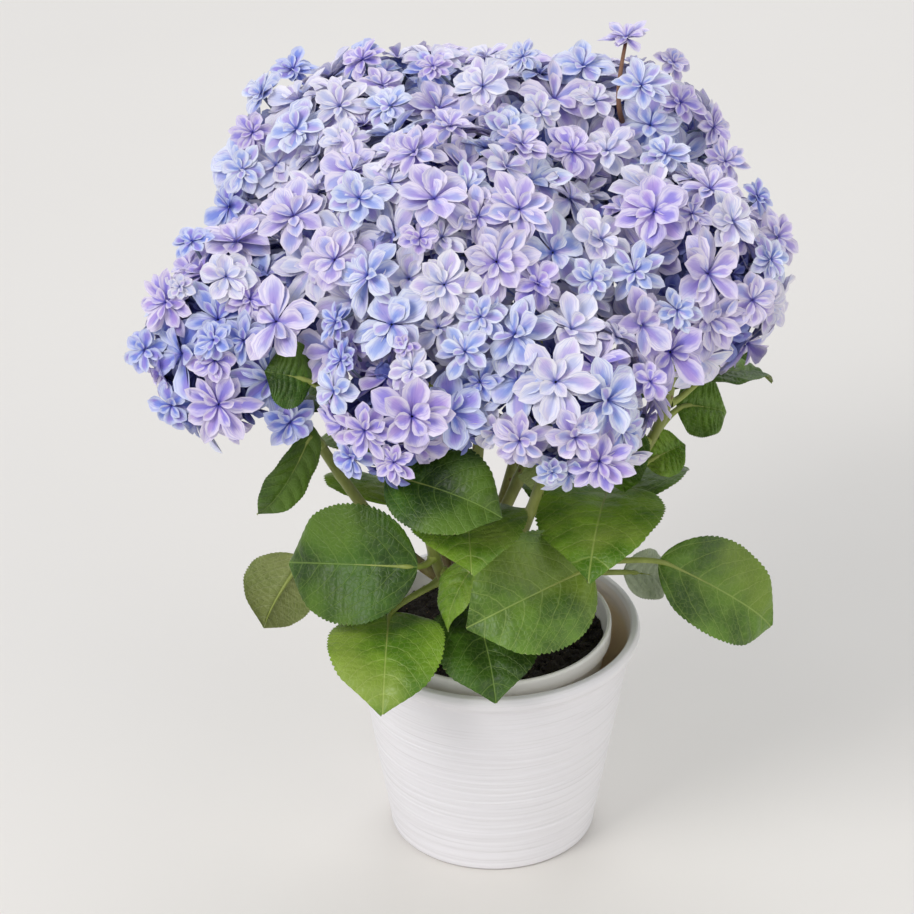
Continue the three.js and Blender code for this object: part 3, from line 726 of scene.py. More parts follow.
# %% Leaf table
LEAVES = [
    dict(zip(("name", "cane", "up", "base", "tip", "width", "roll", "look"), row))
    for row in (
        ("front_left", "low_left", 0.4, (-39, -67, 198), (-107, -46, 188), 62, -58, "dark"),
        ("over_rim", "low_left", 0.22, (-54, -52, 161), (-57, -118, 144), 60, 0, "fresh"),
        ("far_left", "left", 0.42, (-99, -8, 167), (-121, -30, 138), 42, 120, "mid"),
        ("under_low_left", "low_left", 0.7, (-54, -98, 271), (3, -122, 262), 50, 35, "dark"),
        ("centre", "centre", 0.5, (-15, -62, 232), (-12, -124, 232), 60, 0, "fresh"),
        ("centre_right", "right", 0.32, (60, -13, 213), (47, -97, 211), 66, 0, "fresh"),
        ("big_front", "low_right", 0.34, (49, -67, 198), (-14, -99, 182), 62, -50, "mid"),
        ("dark_front", "low_left", 0.3, (-11, -44, 162), (1, -101, 139), 56, 0, "dark"),
        ("young", "low_right", 0.3, (-4, -51, 197), (-25, -77, 166), 28, 20, "fresh"),
        ("right", "right", 0.2, (86, -20, 173), (148, -12, 127), 52, 50, "mid"),
        ("right_under", "right", 0.13, (68, -4, 156), (93, 12, 142), 27, 60, "pale"),
        ("right_high", "right", 0.74, (95, 22, 242), (122, 27, 235), 36, 40, "mid"),
        ("right_edge", "right", 0.88, (106, 10, 264), (146, 30, 254), 28, 0, "mid"),
        ("right_back", "upper_right", 0.55, (116, 60, 252), (132, 70, 253), 26, 30, "mid"),
        ("right_small", "right", 0.5, (79, 10, 214), (100, 16, 222), 26, 45, "fresh"),
        ("right_inner", "right", 0.72, (68, -20, 258), (66, -36, 224), 32, 20, "mid"),
        ("hanging_left", "left", 0.86, (-93, -30, 260), (-121, -42, 213), 25, -92, "dark"),
        ("under_low_right", "low_right", 0.74, (34, -48, 254), (20, -38, 226), 28, 20, "fresh"),
        ("gap_left", "low_left", 0.9, (-92, -70, 309), (-115, -72, 316), 34, -50, "dark"),
        ("gap_low", "low_left", 0.88, (-48, -40, 286), (-71, -42, 295), 34, -40, "dark"),
        ("gap_right", "low_right", 0.9, (54, -50, 307), (28, -40, 325), 36, -40, "shaded"),
        ("back_left", "back_left", 0.4, (-50, 58, 196), (-86, 100, 182), 60, -8, "mid"),
        ("back_right", "back_right", 0.4, (36, 58, 200), (58, 124, 188), 54, 8, "mid"),
        ("back_middle", "top", 0.4, (-8, 62, 226), (-12, 132, 214), 58, 0, "dark"),
        ("upper_left", "upper_left", 0.5, (-75, 40, 228), (-130, 66, 222), 56, 10, "mid"),
        ("upper_right", "upper_right", 0.5, (72, 50, 230), (118, 92, 222), 56, -8, "mid"),
        ("low_back_left", "upper_left", 0.28, (-52, 30, 176), (-70, 86, 162), 58, 0, "fresh"),
        ("low_back_right", "back_right", 0.22, (32, 28, 172), (50, 92, 158), 54, 0, "mid"),
        ("side_right", "upper_right", 0.34, (66, 34, 178), (88, 96, 166), 54, 6, "mid"),
    )
]
print("leaves:", len(LEAVES))

# %% Leaf finishes
SIDE_VEINS = 7.0
VEIN_LEAN, VEIN_CURVE = 0.36, 2.1  # how a side vein leans forward, and bends on towards the edge
VEIN_WOBBLE = 0.42
SIDE_SHOWS, NET_SHOWS = 0.62, 0.28


def leaf_recipe(name, deep, light, warm, vein, roughness, vein_strength):
    """A blade's colour: clouds of green with warmer patches, pale veins, and a faint net between them."""
    leaf = Recipe(name, roughness, Specular_IOR_Level=0.35, Coat_Weight=0.03, Coat_Roughness=0.3)
    across, along = leaf.plan()
    reach = leaf.sum("ABSOLUTE", leaf.minus(across, 0.5))
    lean = leaf.times(reach, VEIN_LEAN, leaf.times(leaf.sum("POWER", reach, 2.0), VEIN_CURVE))
    wobble = leaf.times(leaf.minus(leaf.noise(80.0), 0.5), VEIN_WOBBLE)
    phase = leaf.times(leaf.minus(along, lean), SIDE_VEINS, wobble)
    off = leaf.sum("ABSOLUTE", leaf.minus(leaf.sum("FRACT", leaf.sum("ADD", phase, 0.5)), 0.5))
    cells = leaf.cells(330.0)
    side = leaf.times(leaf.drop(off, 0.008, 0.06), SIDE_SHOWS)
    net = leaf.times(leaf.drop(cells, 0.0, 0.10), NET_SHOWS)
    veins = leaf.larger(leaf.larger(leaf.drop(reach, 0.002, 0.01), side), net)
    cloud = leaf.noise(38.0, 3.0, 0.55)
    tone = leaf.blend(deep, light, leaf.span(cloud, 0.34, 0.68))
    tone = leaf.blend(tone, warm, leaf.times(leaf.span(leaf.noise(17.0, 2.0), 0.46, 0.66), 0.75))
    leaf.colour(leaf.blend(tone, vein, leaf.times(veins, vein_strength)))
    leaf.gloss(leaf.times(cloud, 0.18, roughness - 0.09))
    quilt = leaf.times(leaf.noise(190.0, 2.0), 0.35, leaf.times(leaf.span(cells, 0.0, 0.5), 0.3))
    leaf.relief(leaf.minus(quilt, veins), 0.3, 0.8)
    return leaf


# The dark and shaded looks are painted shade: darker and bluer copies of the leaf green, given to leaves that
# sit in shade under the heads or deep in gaps.
LEAF_COLOURS = {  # deep, light and warm green, veins, roughness, and how strongly the veins show
    "mid": ("mid_green", (54, 84, 20), (98, 134, 42), (124, 148, 54), (170, 192, 104), 0.38, 0.5),
    "fresh": ("fresh_green", (76, 116, 22), (124, 160, 48), (150, 172, 74), (186, 204, 112), 0.38, 0.5),
    "dark": ("shade_painted_green", (34, 60, 10), (66, 104, 22), (94, 126, 34), (134, 162, 78), 0.42, 0.5),
    "shaded": ("in_shade", (40, 52, 74), (84, 98, 122), (112, 122, 146), (150, 160, 178), 0.45, 0.6),
    "pale": ("pale_side", (150, 162, 136), (186, 194, 172), (176, 188, 158), (206, 212, 190), 0.5, 0.6),
    "under": ("pale_underside", (118, 134, 70), (152, 164, 104), (142, 150, 88), (192, 200, 148), 0.55, 0.6),
}
LEAF_MATERIALS = [leaf_recipe("leaf_" + name, *rest) for name, *rest in LEAF_COLOURS.values()]
petiole_skin = Recipe("leaf_stalk", 0.5)
stalk_grain = petiole_skin.noise((200, 200, 60))
petiole_skin.colour(petiole_skin.blend((122, 136, 54), (166, 178, 92), stalk_grain))
petiole_skin.relief(stalk_grain, 0.2)
LEAF_MATERIALS.append(petiole_skin)
LEAF_SLOTS = {look: slot for slot, look in enumerate([*LEAF_COLOURS, "stalk"])}
print("leaf finishes:", ", ".join(LEAF_SLOTS))

# %% Blade outline and teeth
TEETH = 28
ROWS_PER_TOOTH = 4
TOOTH_SHAPE = np.array([0.0, 0.45, 0.85, 0.9])
TOOTH_DEPTH = 0.016
BLADE_ROWS = TEETH * ROWS_PER_TOOTH + 1
BLADE_COLUMNS = 17
WIDEST = 0.45
OUTLINE = dict(power=2.2, base=0.6, tip=0.68, taper=0.55, taper_from=0.78, taper_power=1.6)
COLUMN_SPREAD = math.pi / 2 * 0.72  # columns stand closer together towards the edges


def blade_reach(along, random):
    """Half width of the blade as a share of its greatest half width, with forward-pointing teeth."""
    low = along < WIDEST
    end = np.where(low, WIDEST, 1 - WIDEST)
    plain = 1 - (np.abs(along - WIDEST) / end) ** OUTLINE["power"]
    plain = plain ** np.where(low, OUTLINE["base"], OUTLINE["tip"])
    taper = np.clip((along - OUTLINE["taper_from"]) / 0.22, 0, 1) ** OUTLINE["taper_power"]
    plain = plain * (1 - OUTLINE["taper"] * taper)
    rows = np.arange(len(along))
    depths = np.array([TOOTH_DEPTH * (0.5 + random()) for _ in range(TEETH + 1)])[rows // ROWS_PER_TOOTH]
    tooth = TOOTH_SHAPE[rows % ROWS_PER_TOOTH]
    fade = np.clip(along / 0.08, 0, 1) * np.clip((1 - along) / 0.05, 0, 1)
    return plain * (1 + depths * (tooth - 0.5) * 2 * fade)


blade_along = np.linspace(0.004, 0.996, BLADE_ROWS)
blade_across = np.sin(np.linspace(-1, 1, BLADE_COLUMNS) * COLUMN_SPREAD) / math.sin(COLUMN_SPREAD)
print("teeth on each side:", TEETH)

# %% Blade surface
LEAF_ARCH = 0.1
LEAF_FOLD = 0.14
PUCKER = 1.35
SHEET = 0.22
DROOP, DROOP_FROM = 0.05, 0.72
SWAY_PITCH, RUFFLE, RUFFLE_PITCH = 7.5, 0.45, 23


def leaf_frame(leaf):
    base, tip = np.array(leaf["base"], float), np.array(leaf["tip"], float)
    length = np.linalg.norm(tip - base)
    along = (tip - base) / length
    level = unit(UP - along * along[2])
    face = turned(level, along, math.radians(leaf["roll"]))
    return base, along, face, np.cross(along, face), length


def midrib(leaf, share):
    base, along, face, _, length = leaf_frame(leaf)
    share = np.asarray(share, float)[..., None]
    return base + along * length * share + face * 4 * LEAF_ARCH * length * share * (1 - share)


def tip_droop(share, length):
    return DROOP * length * np.clip((share - DROOP_FROM) / 0.28, 0, 1) ** 2


def blade_grids(leaf, seed):
    """A blade's top and underside, and how far across each point lies as a share of its length."""
    _, _, face, across, length = leaf_frame(leaf)
    random = seeded(seed)
    left, right = blade_reach(blade_along, random), blade_reach(blade_along, random)
    reaches = np.where(blade_across[None] < 0, left[:, None], right[:, None])
    y = leaf["width"] / 2 * blade_across[None] * reaches
    share = blade_along[:, None] + 0 * y
    side = np.abs(blade_across)[None]
    reach = np.abs(y / length)
    phase = (share - VEIN_LEAN * reach - VEIN_CURVE * reach**2) * SIDE_VEINS
    panels = np.abs(np.sin(math.pi * phase)) ** 0.8
    lift = PUCKER * panels * (1 - side**4)
    lift = lift * np.clip(side / 0.18, 0, 1) * np.clip((1 - share) / 0.15, 0, 1)
    sway, sway_phase, ruffle_phase = 1.3 + 1.1 * random(), 6.3 * random(), 6.3 * random()
    wave = sway * np.sin(SWAY_PITCH * share + sway_phase + 2.0 * np.sign(y)) * side**2
    ruffle = RUFFLE * np.sin(RUFFLE_PITCH * share + ruffle_phase + 1.3 * np.sign(y)) * side**4
    margin = (wave + ruffle) * np.clip(share / 0.2, 0, 1)
    fold = LEAF_FOLD * np.abs(y) * (1.25 - 0.25 * side)
    raised = fold + lift + margin - tip_droop(share, length)
    points = midrib(leaf, share) + across * y[..., None] + face * raised[..., None]
    normals = unit(np.cross(np.gradient(points, axis=0), np.gradient(points, axis=1)))
    if np.sum(normals[BLADE_ROWS // 2, BLADE_COLUMNS // 2] * face) < 0:
        normals = -normals
    inner = (1 - np.abs(blade_across) ** 6)[None, :, None]
    return points + normals * SHEET * inner, (points - normals * SHEET * inner)[:, ::-1], y / length


print("grid of one blade:", blade_grids(LEAVES[0], 1)[0].shape[:2])

# %% Stalk of a leaf
PETIOLE = dict(radius=2.0, tip=1.4, sunk=7.0, bend=0.3, rings=14, collar=(1.0, 0.4))
RIB = dict(radius=1.15, tip=0.3, end=0.93, rings=15, below=0.55)


def stalk_path(leaf):
    """From the cane, squarely out, then in under the blade and along its midrib."""
    nodes, grains = bezier(HEADS[leaf["cane"]]["cane"], [leaf["up"]])
    node, grain = nodes[0], grains[0]
    base, along, face, _, length = leaf_frame(leaf)
    outward = base - node
    outward = unit(outward - grain * np.dot(outward, grain))
    start = node + outward * (lerp(CANE["radius"], CANE["tip"], leaf["up"]) - 0.6)
    sunk = PETIOLE["sunk"] / length
    controls = bent_curve(start, outward, midrib(leaf, sunk), along, PETIOLE["bend"])
    stalk = bezier(controls, np.linspace(0, 1, PETIOLE["rings"]))[0]
    rib_shares = np.linspace(sunk, RIB["end"], RIB["rings"] + 1)[1:]
    rib = midrib(leaf, rib_shares) - face * tip_droop(rib_shares, length)[:, None]
    path = np.concatenate([stalk, rib - face * RIB["below"]])
    stalk_radii = np.linspace(PETIOLE["radius"], PETIOLE["tip"], PETIOLE["rings"])
    stalk_radii[:2] += PETIOLE["collar"]
    return path, np.concatenate([stalk_radii, np.linspace(RIB["radius"], RIB["tip"], RIB["rings"])])


print("rings of one stalk:", len(stalk_path(LEAVES[0])[0]))

# %% Leaves of each cane
STALK_SIDES = 10
leaf_points = []
for cane in HEADS:
    own = [leaf for leaf in LEAVES if leaf["cane"] == cane]
    if not own:
        continue
    heap = Heap()
    step = 1 / len(own)
    for index, leaf in enumerate(own):
        left, wide = step * index, step * 0.97
        top, under, flat = blade_grids(leaf, 101 + 13 * LEAVES.index(leaf))
        look, under_look = LEAF_SLOTS[leaf["look"]], LEAF_SLOTS["under"]
        heap.add(top, 0.5 + flat, blade_along, tiles=(left, 0.0, wide, 0.45), slots=look)
        heap.add(under, (0.5 - flat)[:, ::-1], blade_along, tiles=(left, 0.46, wide, 0.45), slots=under_look)
        path, radii = stalk_path(leaf)
        add_tube(heap, path, radii, STALK_SIDES, LEAF_SLOTS["stalk"], tile=(left, 0.93, wide, 0.06))
        leaf_points.append(top[::6, ::3].reshape(-1, 3))
    heap.piece(f"leaves_{cane}", LEAF_MATERIALS, [f"leaf_{leaf['name']}" for leaf in own])

# %% [markdown]
# ## Florets
# Each floret of this double mophead is a small rosette: a broad outer ring of
# petals, a second ring that stands over it, and a few short petals round the
# eye. Broad petals come in smaller numbers than narrow ones. A petal is a grid
# of a few rows. Its centre line rises from the eye and bends back outward, its
# cross-section is a shallow channel, and its tip comes to a soft point. All
# petals of a head are worked out together as arrays.

# %% One petal
PETAL_ALONG = np.array([0.0, 0.14, 0.31, 0.5, 0.7, 0.87, 1.0])
PETAL_HALF = np.array([0.12, 0.30, 0.66, 0.95, 1.0, 0.62, 0.04])
PETAL_ACROSS = np.array([-1.0, -0.55, 0.0, 0.55, 1.0])
PETAL_VARIANTS = 8
PETAL_CREASE = 0.10
PETAL_WAVES, WAVE_SPLIT = 5.0, 1.8  # ripples along a petal's edges, and how far the two edges are out of step
PETAL_VECTORS = ("eye", "out", "up")
PETAL_NUMBERS = ("length", "width", "start", "height", "lift", "curl", "cup", "wave", "phase", "twist")


def petal_grids(petals):
    """Grids for many petals at once, from their vectors and numbers."""
    arrays = {field: np.array([petal[field] for petal in petals]) for field in PETAL_VECTORS + PETAL_NUMBERS}
    eye, out, up = (arrays[field][:, None, None] for field in PETAL_VECTORS)
    length, width, start, height, lift, curl, cup, wave, phase, twist = (
        arrays[field][:, None, None] for field in PETAL_NUMBERS
    )
    along = PETAL_ALONG[:, None]
    slope = lift + curl * (along[1:] + along[:-1]) / 2
    steps = np.diff(along, axis=0)
    first = np.zeros((len(petals), 1, 1))
    run = np.concatenate([first, np.cumsum(np.cos(slope) * steps, 1)], 1) * length + start
    rise = np.concatenate([first, np.cumsum(np.sin(slope) * steps, 1)], 1) * length + height
    angle = lift + curl * along
    half = PETAL_HALF[:, None] * width / 2
    y = half * PETAL_ACROSS
    edge = PETAL_ACROSS**2
    ripple = wave * np.sin(PETAL_WAVES * along + phase + WAVE_SPLIT * np.sign(PETAL_ACROSS))
    crease = -PETAL_CREASE * half * (1 - np.abs(PETAL_ACROSS)) ** 2
    raised = cup * half * edge + crease + ripple * half * edge + y * np.sin(twist * along)
    forward = run - np.sin(angle) * raised
    upward = rise + np.cos(angle) * raised
    return eye + out * forward[..., None] + up * upward[..., None] + np.cross(up, out) * y[..., None]


print("triangles in one petal:", 2 * (len(PETAL_ALONG) - 1) * (len(PETAL_ACROSS) - 1))

# %% [markdown]
# The petals are pale at the rim and carry a blue or lilac flame down the
# middle, darkest near the eye, with fine lines along it. Every floret on the
# plant differs a little, so a few tints are mixed: each is the same recipe with
# five other colours. The finish reads only the petal's own plan, so the same
# petal looks the same wherever it grows.


# %% Petal finish
def petal_recipe(name, rim, body, flush, flame, eye):
    """The colours run from the edge of a petal to its foot, and flush is a second wash on the body."""
    petal = Recipe(name, 0.6, Specular_IOR_Level=0.3, Sheen_Weight=0.1, Sheen_Roughness=0.5)
    across, along = petal.plan()
    edge = petal.sum("ABSOLUTE", petal.times(petal.sum("FRACT", across), 2.0, -1.0))
    back = petal.minus(1.0, along)
    flat = petal.node("ShaderNodeCombineXYZ", {0: across, 1: along, 2: 0.0})
    lines = petal.noise((15, 1.0, 1), 3.0, 0.6, where=flat)
    drift = petal.minus(petal.noise((2.9, 2.1, 1), 2.0, where=flat), 0.5)
    washes = petal.noise((1.3, 0.9, 1), 1.0, where=flat)
    ragged = petal.times(drift, 1.3, edge)
    rim_tip = petal.span(petal.times(drift, 0.5, along), 0.62, 1.0)
    pale = petal.times(petal.larger(petal.span(ragged, 0.15, 0.95), rim_tip), petal.span(along, 0.05, 0.4))
    tongue = petal.times(petal.drop(ragged, 0.0, 0.6), petal.span(back, 0.1, 0.75))
    streaks = petal.times(petal.span(lines, 0.3, 0.62), 0.75)
    tone = petal.blend(body, flush, petal.span(washes, 0.40, 0.60))
    tone = petal.blend(tone, flame, petal.times(tongue, streaks))
    tone = petal.blend(tone, rim, petal.times(pale, 0.95))
    # A thin pale line along the very edge is a painted highlight, where light catches the petal's edge.
    tone = petal.blend(tone, rim, petal.times(petal.span(edge, 0.84, 1.0), 0.5))
    tone = petal.blend(tone, eye, petal.span(back, 0.80, 1.0))
    # The fine dark lines lie in the grooves of the relief: partly the petal's veins, partly painted shade in
    # its folds.
    petal.colour(petal.blend(tone, flame, petal.times(petal.drop(lines, 0.34, 0.54), 0.36)))
    petal.relief(lines, 0.45, 0.8)
    return petal


PETAL_COLOURS = {
    "c": ("cream", (243, 240, 247), (208, 212, 239), (208, 190, 233), (146, 155, 218), (100, 106, 190)),
    "l": ("lavender", (240, 232, 245), (190, 174, 229), (180, 188, 236), (132, 116, 208), (92, 84, 184)),
    "p": ("pale_blue", (234, 238, 249), (170, 186, 238), (196, 178, 231), (108, 128, 214), (76, 90, 188)),
    "v": ("violet", (236, 228, 245), (166, 154, 230), (192, 166, 228), (112, 104, 208), (80, 72, 182)),
    "b": ("blue", (220, 226, 247), (142, 160, 232), (166, 150, 226), (86, 102, 206), (60, 66, 174)),
    "m": ("mid_shade", (150, 158, 214), (102, 112, 192), (118, 106, 188), (70, 78, 164), (48, 54, 134)),
    "s": ("deep_shade", (136, 146, 206), (84, 94, 172), (94, 86, 168), (54, 60, 138), (38, 40, 108)),
}
PETAL_MATERIALS = [petal_recipe("petal_" + name, *rest) for name, *rest in PETAL_COLOURS.values()]
PETAL_SLOTS = {letter: slot for slot, letter in enumerate(PETAL_COLOURS)}
print("petal tints:", len(PETAL_MATERIALS))

# %% Rings of petals
PETAL_RINGS = (  # length, width and height are shares of the floret's radius, lift and curl are degrees
    dict(count=6, offset=0.0, length=1.00, width=0.60, height=0.0, lift=6, curl=-14, cup=0.28),
    dict(count=5, offset=0.5, length=0.86, width=0.53, height=0.03, lift=24, curl=-26, cup=0.32),
    dict(count=3, offset=0.2, length=0.54, width=0.34, height=0.06, lift=46, curl=-40, cup=0.44),
)


def floret_petals(eye, normal, radius, spin, random):
    """The vectors and numbers of every petal of one floret."""
    side = unit(np.cross([0.3, 1, 0.2], normal))
    other = np.cross(normal, side)
    breadth = 0.74 + 0.42 * random()
    petals = []
    for ring in PETAL_RINGS:
        count = ring["count"] + round(4 * (1 - breadth))
        for index in range(count):
            angle = spin + 2 * math.pi * (index + ring["offset"] + 0.34 * (random() - 0.5)) / count
            petals.append(
                dict(
                    eye=eye,
                    out=side * math.cos(angle) + other * math.sin(angle),
                    up=normal,
                    length=radius * ring["length"] * (0.82 + 0.30 * random()),
                    width=radius * ring["width"] * breadth * (0.84 + 0.36 * random()),
                    start=0.03 * radius,
                    height=radius * ring["height"],
                    lift=math.radians(ring["lift"] + 34 * (random() - 0.5)),
                    curl=math.radians(ring["curl"] + 30 * (random() - 0.5)),
                    cup=ring["cup"] * (0.6 + 0.8 * random()),
                    wave=0.34 * (random() - 0.3),
                    phase=6.3 * random(),
                    twist=0.7 * (random() - 0.5),
                    variant=int(PETAL_VARIANTS * random()),
                )
            )
    return petals


print("petals in a floret:", len(floret_petals(ORIGIN, UP, 20.0, 0.0, seeded(3))))

# %% [markdown]
# ## Where the florets sit
# Heads that touch press together, so the crown is nearly one skin with shallow
# creases. It is worked out as a soft union of the heads: each head gives a
# distance from its own surface, and the distances are blended, which fills the
# crease between two heads and leaves the rest of each dome as it is. Florets
# are seated just under this skin, on the same spiral over each head as in the
# solids, only closer together.

# %% Skin of the crown
HEAD_REACH = math.radians(112)
CREASE_FILL = 19.0
SEARCH = (0.3, 1.5, 61)  # from and to which share of the way out the skin is sought, and in how many steps
CROWN = []
for head in HEADS.values():
    centre, axis, side, other = head_frame(head)
    squash = np.stack([side / head["across"], other / head["across"], axis / head["deep"]], 1)
    CROWN.append((centre, squash, (head["across"] + head["deep"]) / 2))


def crown_depth(points):
    """How far points lie outside the crown's skin, in mm, less than 0 inside it."""
    total = sum(
        np.exp((1 - np.linalg.norm((points - centre) @ squash, axis=-1)) * size / CREASE_FILL)
        for centre, squash, size in CROWN
    )
    return -CREASE_FILL * np.log(total)


def skin_normal(point):
    probe = crown_depth(point + np.concatenate([np.eye(3), -np.eye(3)]))
    return unit(probe[:3] - probe[3:])


def head_point(head, azimuth, polar):
    centre, axis, side, other = head_frame(head)
    across = head["across"] * math.sin(polar)
    level = centre + side * across * math.cos(azimuth) + other * across * math.sin(azimuth)
    return level + axis * head["deep"] * math.cos(polar)


def seat_on_skin(head, azimuth, polar, inset):
    """The point under the skin by inset on the way out from the head's centre."""
    way = head_point(head, azimuth, polar) - head["at"]
    shares = np.linspace(*SEARCH)
    inside = np.flatnonzero(crown_depth(head["at"] + way * shares[:, None]) < -inset)
    return head["at"] + way * (shares[inside[-1]] if len(inside) else shares[0])


def own_space(head, point):
    """How far a point lies inside the head's own space, from the planes between it and the others."""
    size = (head["across"] + head["deep"]) / 2
    room = []
    for other in HEADS.values():
        if other is head:
            continue
        towards = other["at"] - head["at"]
        distance = np.linalg.norm(towards)
        other_size = (other["across"] + other["deep"]) / 2
        plane = (distance**2 + size**2 - other_size**2) / (2 * distance)
        room.append(plane - np.dot(point - head["at"], towards) / distance)
    return min(room)


print("skin over the centre head, mm:", crown_depth(HEADS["centre"]["at"] + 60.0 * UP).round(1))

# %% [markdown]
# The large florets on the front of the plant are placed one by one, because
# they carry its look. Each row says where the eye shows in the frame. The line
# of sight through that dot is followed until it passes under the crown's skin,
# so the floret sits on its head from every side. Gaps are kept open the same
# way, and some of them are so deep that a leaf shows through.

# %% Florets that stand out from the front
FRONT_FLORETS = (  # dots across and down the frame, radius in dots, and the tint
    # the left head and the low left one
    (277, 322, 42, "l"), (219, 404, 40, "v"), (226, 277, 29, "c"), (167, 302, 34, "v"), (214, 340, 22, "b"),
    (145, 350, 25, "b"), (172, 405, 26, "b"), (192, 242, 22, "b"), (180, 287, 16, "c"), (337, 322, 22, "b"),
    (335, 391, 26, "p"), (342, 360, 22, "b"), (290, 422, 30, "b"), (365, 430, 30, "v"), (352, 457, 24, "b"),
    (412, 416, 42, "v"), (394, 462, 22, "v"), (230, 207, 32, "b"),
    # the middle of the crown
    (294, 217, 38, "l"), (335, 260, 36, "l"), (369, 276, 38, "p"), (392, 325, 42, "p"), (405, 347, 14, "v"),
    (412, 370, 25, "c"), (444, 285, 34, "c"), (359, 199, 33, "p"), (434, 200, 40, "l"), (420, 238, 20, "v"),
    (465, 352, 28, "p"), (519, 210, 40, "l"), (496, 262, 41, "l"), (537, 284, 30, "v"), (516, 335, 42, "p"),
    (481, 317, 27, "p"),
    # the low right head and the right one
    (556, 382, 42, "c"), (607, 400, 42, "p"), (599, 461, 34, "v"), (575, 437, 30, "l"), (520, 440, 32, "l"),
    (552, 472, 18, "p"), (641, 325, 38, "l"), (670, 352, 42, "v"), (707, 274, 43, "l"), (654, 212, 38, "v"),
    (600, 240, 34, "c"), (635, 272, 32, "p"), (592, 280, 24, "p"), (710, 190, 36, "l"), (732, 222, 32, "c"),
    (777, 237, 28, "l"), (752, 300, 30, "l"), (770, 260, 26, "p"), (757, 197, 20, "b"), (677, 310, 24, "p"),
    (650, 382, 22, "v"),
    # the top
    (522, 145, 28, "l"), (572, 152, 32, "v"), (607, 152, 30, "c"), (665, 155, 28, "p"), (725, 162, 24, "l"),
    (363, 60, 26, "v"), (293, 70, 27, "b"), (262, 94, 28, "p"), (340, 107, 34, "c"), (345, 143, 30, "c"),
    (415, 153, 34, "l"), (450, 127, 24, "l"), (483, 87, 32, "c"), (390, 107, 26, "p"), (433, 67, 20, "v"),
    (523, 57, 20, "p"), (583, 67, 34, "p"), (673, 63, 20, "l"), (680, 103, 26, "v"),
    (713, 127, 24, "l"), (540, 113, 24, "c"), (510, 130, 28, "p"), (297, 130, 34, "p"), (253, 133, 26, "v"),
    (243, 170, 26, "p"),
)
FRONT_GAPS = (  # dots across and down, radius in dots, and whether one sees right in to a leaf
    (580, 198, 30, False), (572, 335, 34, True), (365, 388, 34, True), (456, 388, 26, True),
    (290, 378, 30, True), (664, 440, 52, True), (762, 354, 72, False), (736, 366, 26, True),
    (612, 112, 24, False), (396, 44, 44, False), (450, 40, 44, False), (490, 42, 26, False),
    (478, 385, 12, False), (325, 345, 10, False), (262, 262, 8, False), (390, 123, 8, False),
    (500, 112, 10, False),
)
DOTS = LENS / SENSOR * FRAME
SIGHT = np.array([0, math.cos(CAMERA_PITCH), -math.sin(CAMERA_PITCH)])
FRAME_UP = np.array([0, math.sin(CAMERA_PITCH), math.cos(CAMERA_PITCH)])
VIEWER = (np.array(LOOK_AT) - CAMERA_DISTANCE * SIGHT) / MM
CROWN_REACH = 260.0
FURTHEST_OUT = 12.0
PROUD = dict(sunk=1.0, share=0.3, facing=0.4, turned=0.9, lean=1.1)


def dots_to_mm(dots):
    """A length in dots of the frame, as it is at the heart of the plant."""
    return dots / DOTS * CAMERA_DISTANCE / MM


def seat_in_view(across, down, inset):
    """The first point under the crown's skin by inset, on the line of sight through a dot."""
    way = SIGHT + RIGHT * (across - FRAME / 2) / DOTS - FRAME_UP * (down - FRAME / 2) / DOTS
    shares = CAMERA_DISTANCE / MM + np.arange(-CROWN_REACH, CROWN_REACH, 1.0)
    points = VIEWER + way * shares[:, None]
    depths = crown_depth(points)
    under = np.flatnonzero(depths < -inset)
    if len(under):
        return points[under[0]]
    nearest = int(np.argmin(depths))
    return points[nearest] if depths[nearest] < FURTHEST_OUT else None


def nearest_head(point):
    depths = [(np.linalg.norm((point - centre) @ squash) - 1) * size for centre, squash, size in CROWN]
    return list(HEADS)[int(np.argmin(depths))]


front_florets = {name: [] for name in HEADS}
for across, down, dots, tint in FRONT_FLORETS:
    radius = dots_to_mm(dots)
    eye = seat_in_view(across, down, PROUD["sunk"] + PROUD["share"] * radius)
    if eye is not None:
        front_florets[nearest_head(eye)].append((eye, radius, tint))
print("florets that stand out:", {name: len(own) for name, own in front_florets.items()})

# %% [markdown]
# The rest of a head is filled layer by layer. Places are tried along the
# spiral, and a floret opens at each one where it has elbow room: two florets
# stand apart by at least a share of their radii together. The large florets come
# first, small ones then fill what is left, and a last, deeper layer in shade
# closes the gaps. A floret that would lie in another head's space, in a leaf or
# in a cane is left out, as it would be pushed aside on the plant.

# %% Layers of florets
LAYERS = (
    dict(least=19.5, greatest=24.5, sunk=0.0, stagger=9.0, shaded=False, start=0.0),
    dict(least=13.0, greatest=18.0, sunk=1.0, stagger=6.0, shaded=False, start=0.7),
    dict(least=14.0, greatest=18.0, sunk=10.5, stagger=6.0, shaded=True, start=1.9),
)
GOLDEN_ANGLE = math.pi * (3 - math.sqrt(5))
STRAY = dict(along=0.5, round=0.4)
SEAT = dict(fixed=3.5, share=0.40)
TILT, AXIS_PULL = 0.8, 0.06
ELBOW_ROOM, LEAF_ROOM = 0.52, 0.5
TRIES = 5
BORDER = 6.0
# Florets just over the far edge of the crown sit lower and look up over it.
FAR_EDGE = dict(middle=0.25, reach=0.45, sunk=9.0, facing=1.3)
obstacles = np.concatenate(leaf_points + cane_points)
taken = {False: [[*eye, radius] for own in front_florets.values() for eye, radius, _ in own], True: []}
for across, down, dots, deep in FRONT_GAPS:
    gap = seat_in_view(across, down, 0.0)
    if gap is not None:
        for shaded in (False, True)[: 1 + deep]:
            taken[shaded].append([*gap, dots_to_mm(dots)])


def has_room(eye, radius, shaded):
    if np.min(np.linalg.norm(obstacles - eye, axis=1)) < LEAF_ROOM * radius:
        return False
    others = np.array(taken[shaded])
    return np.all(np.linalg.norm(others[:, :3] - eye, axis=1) > ELBOW_ROOM * (others[:, 3] + radius))


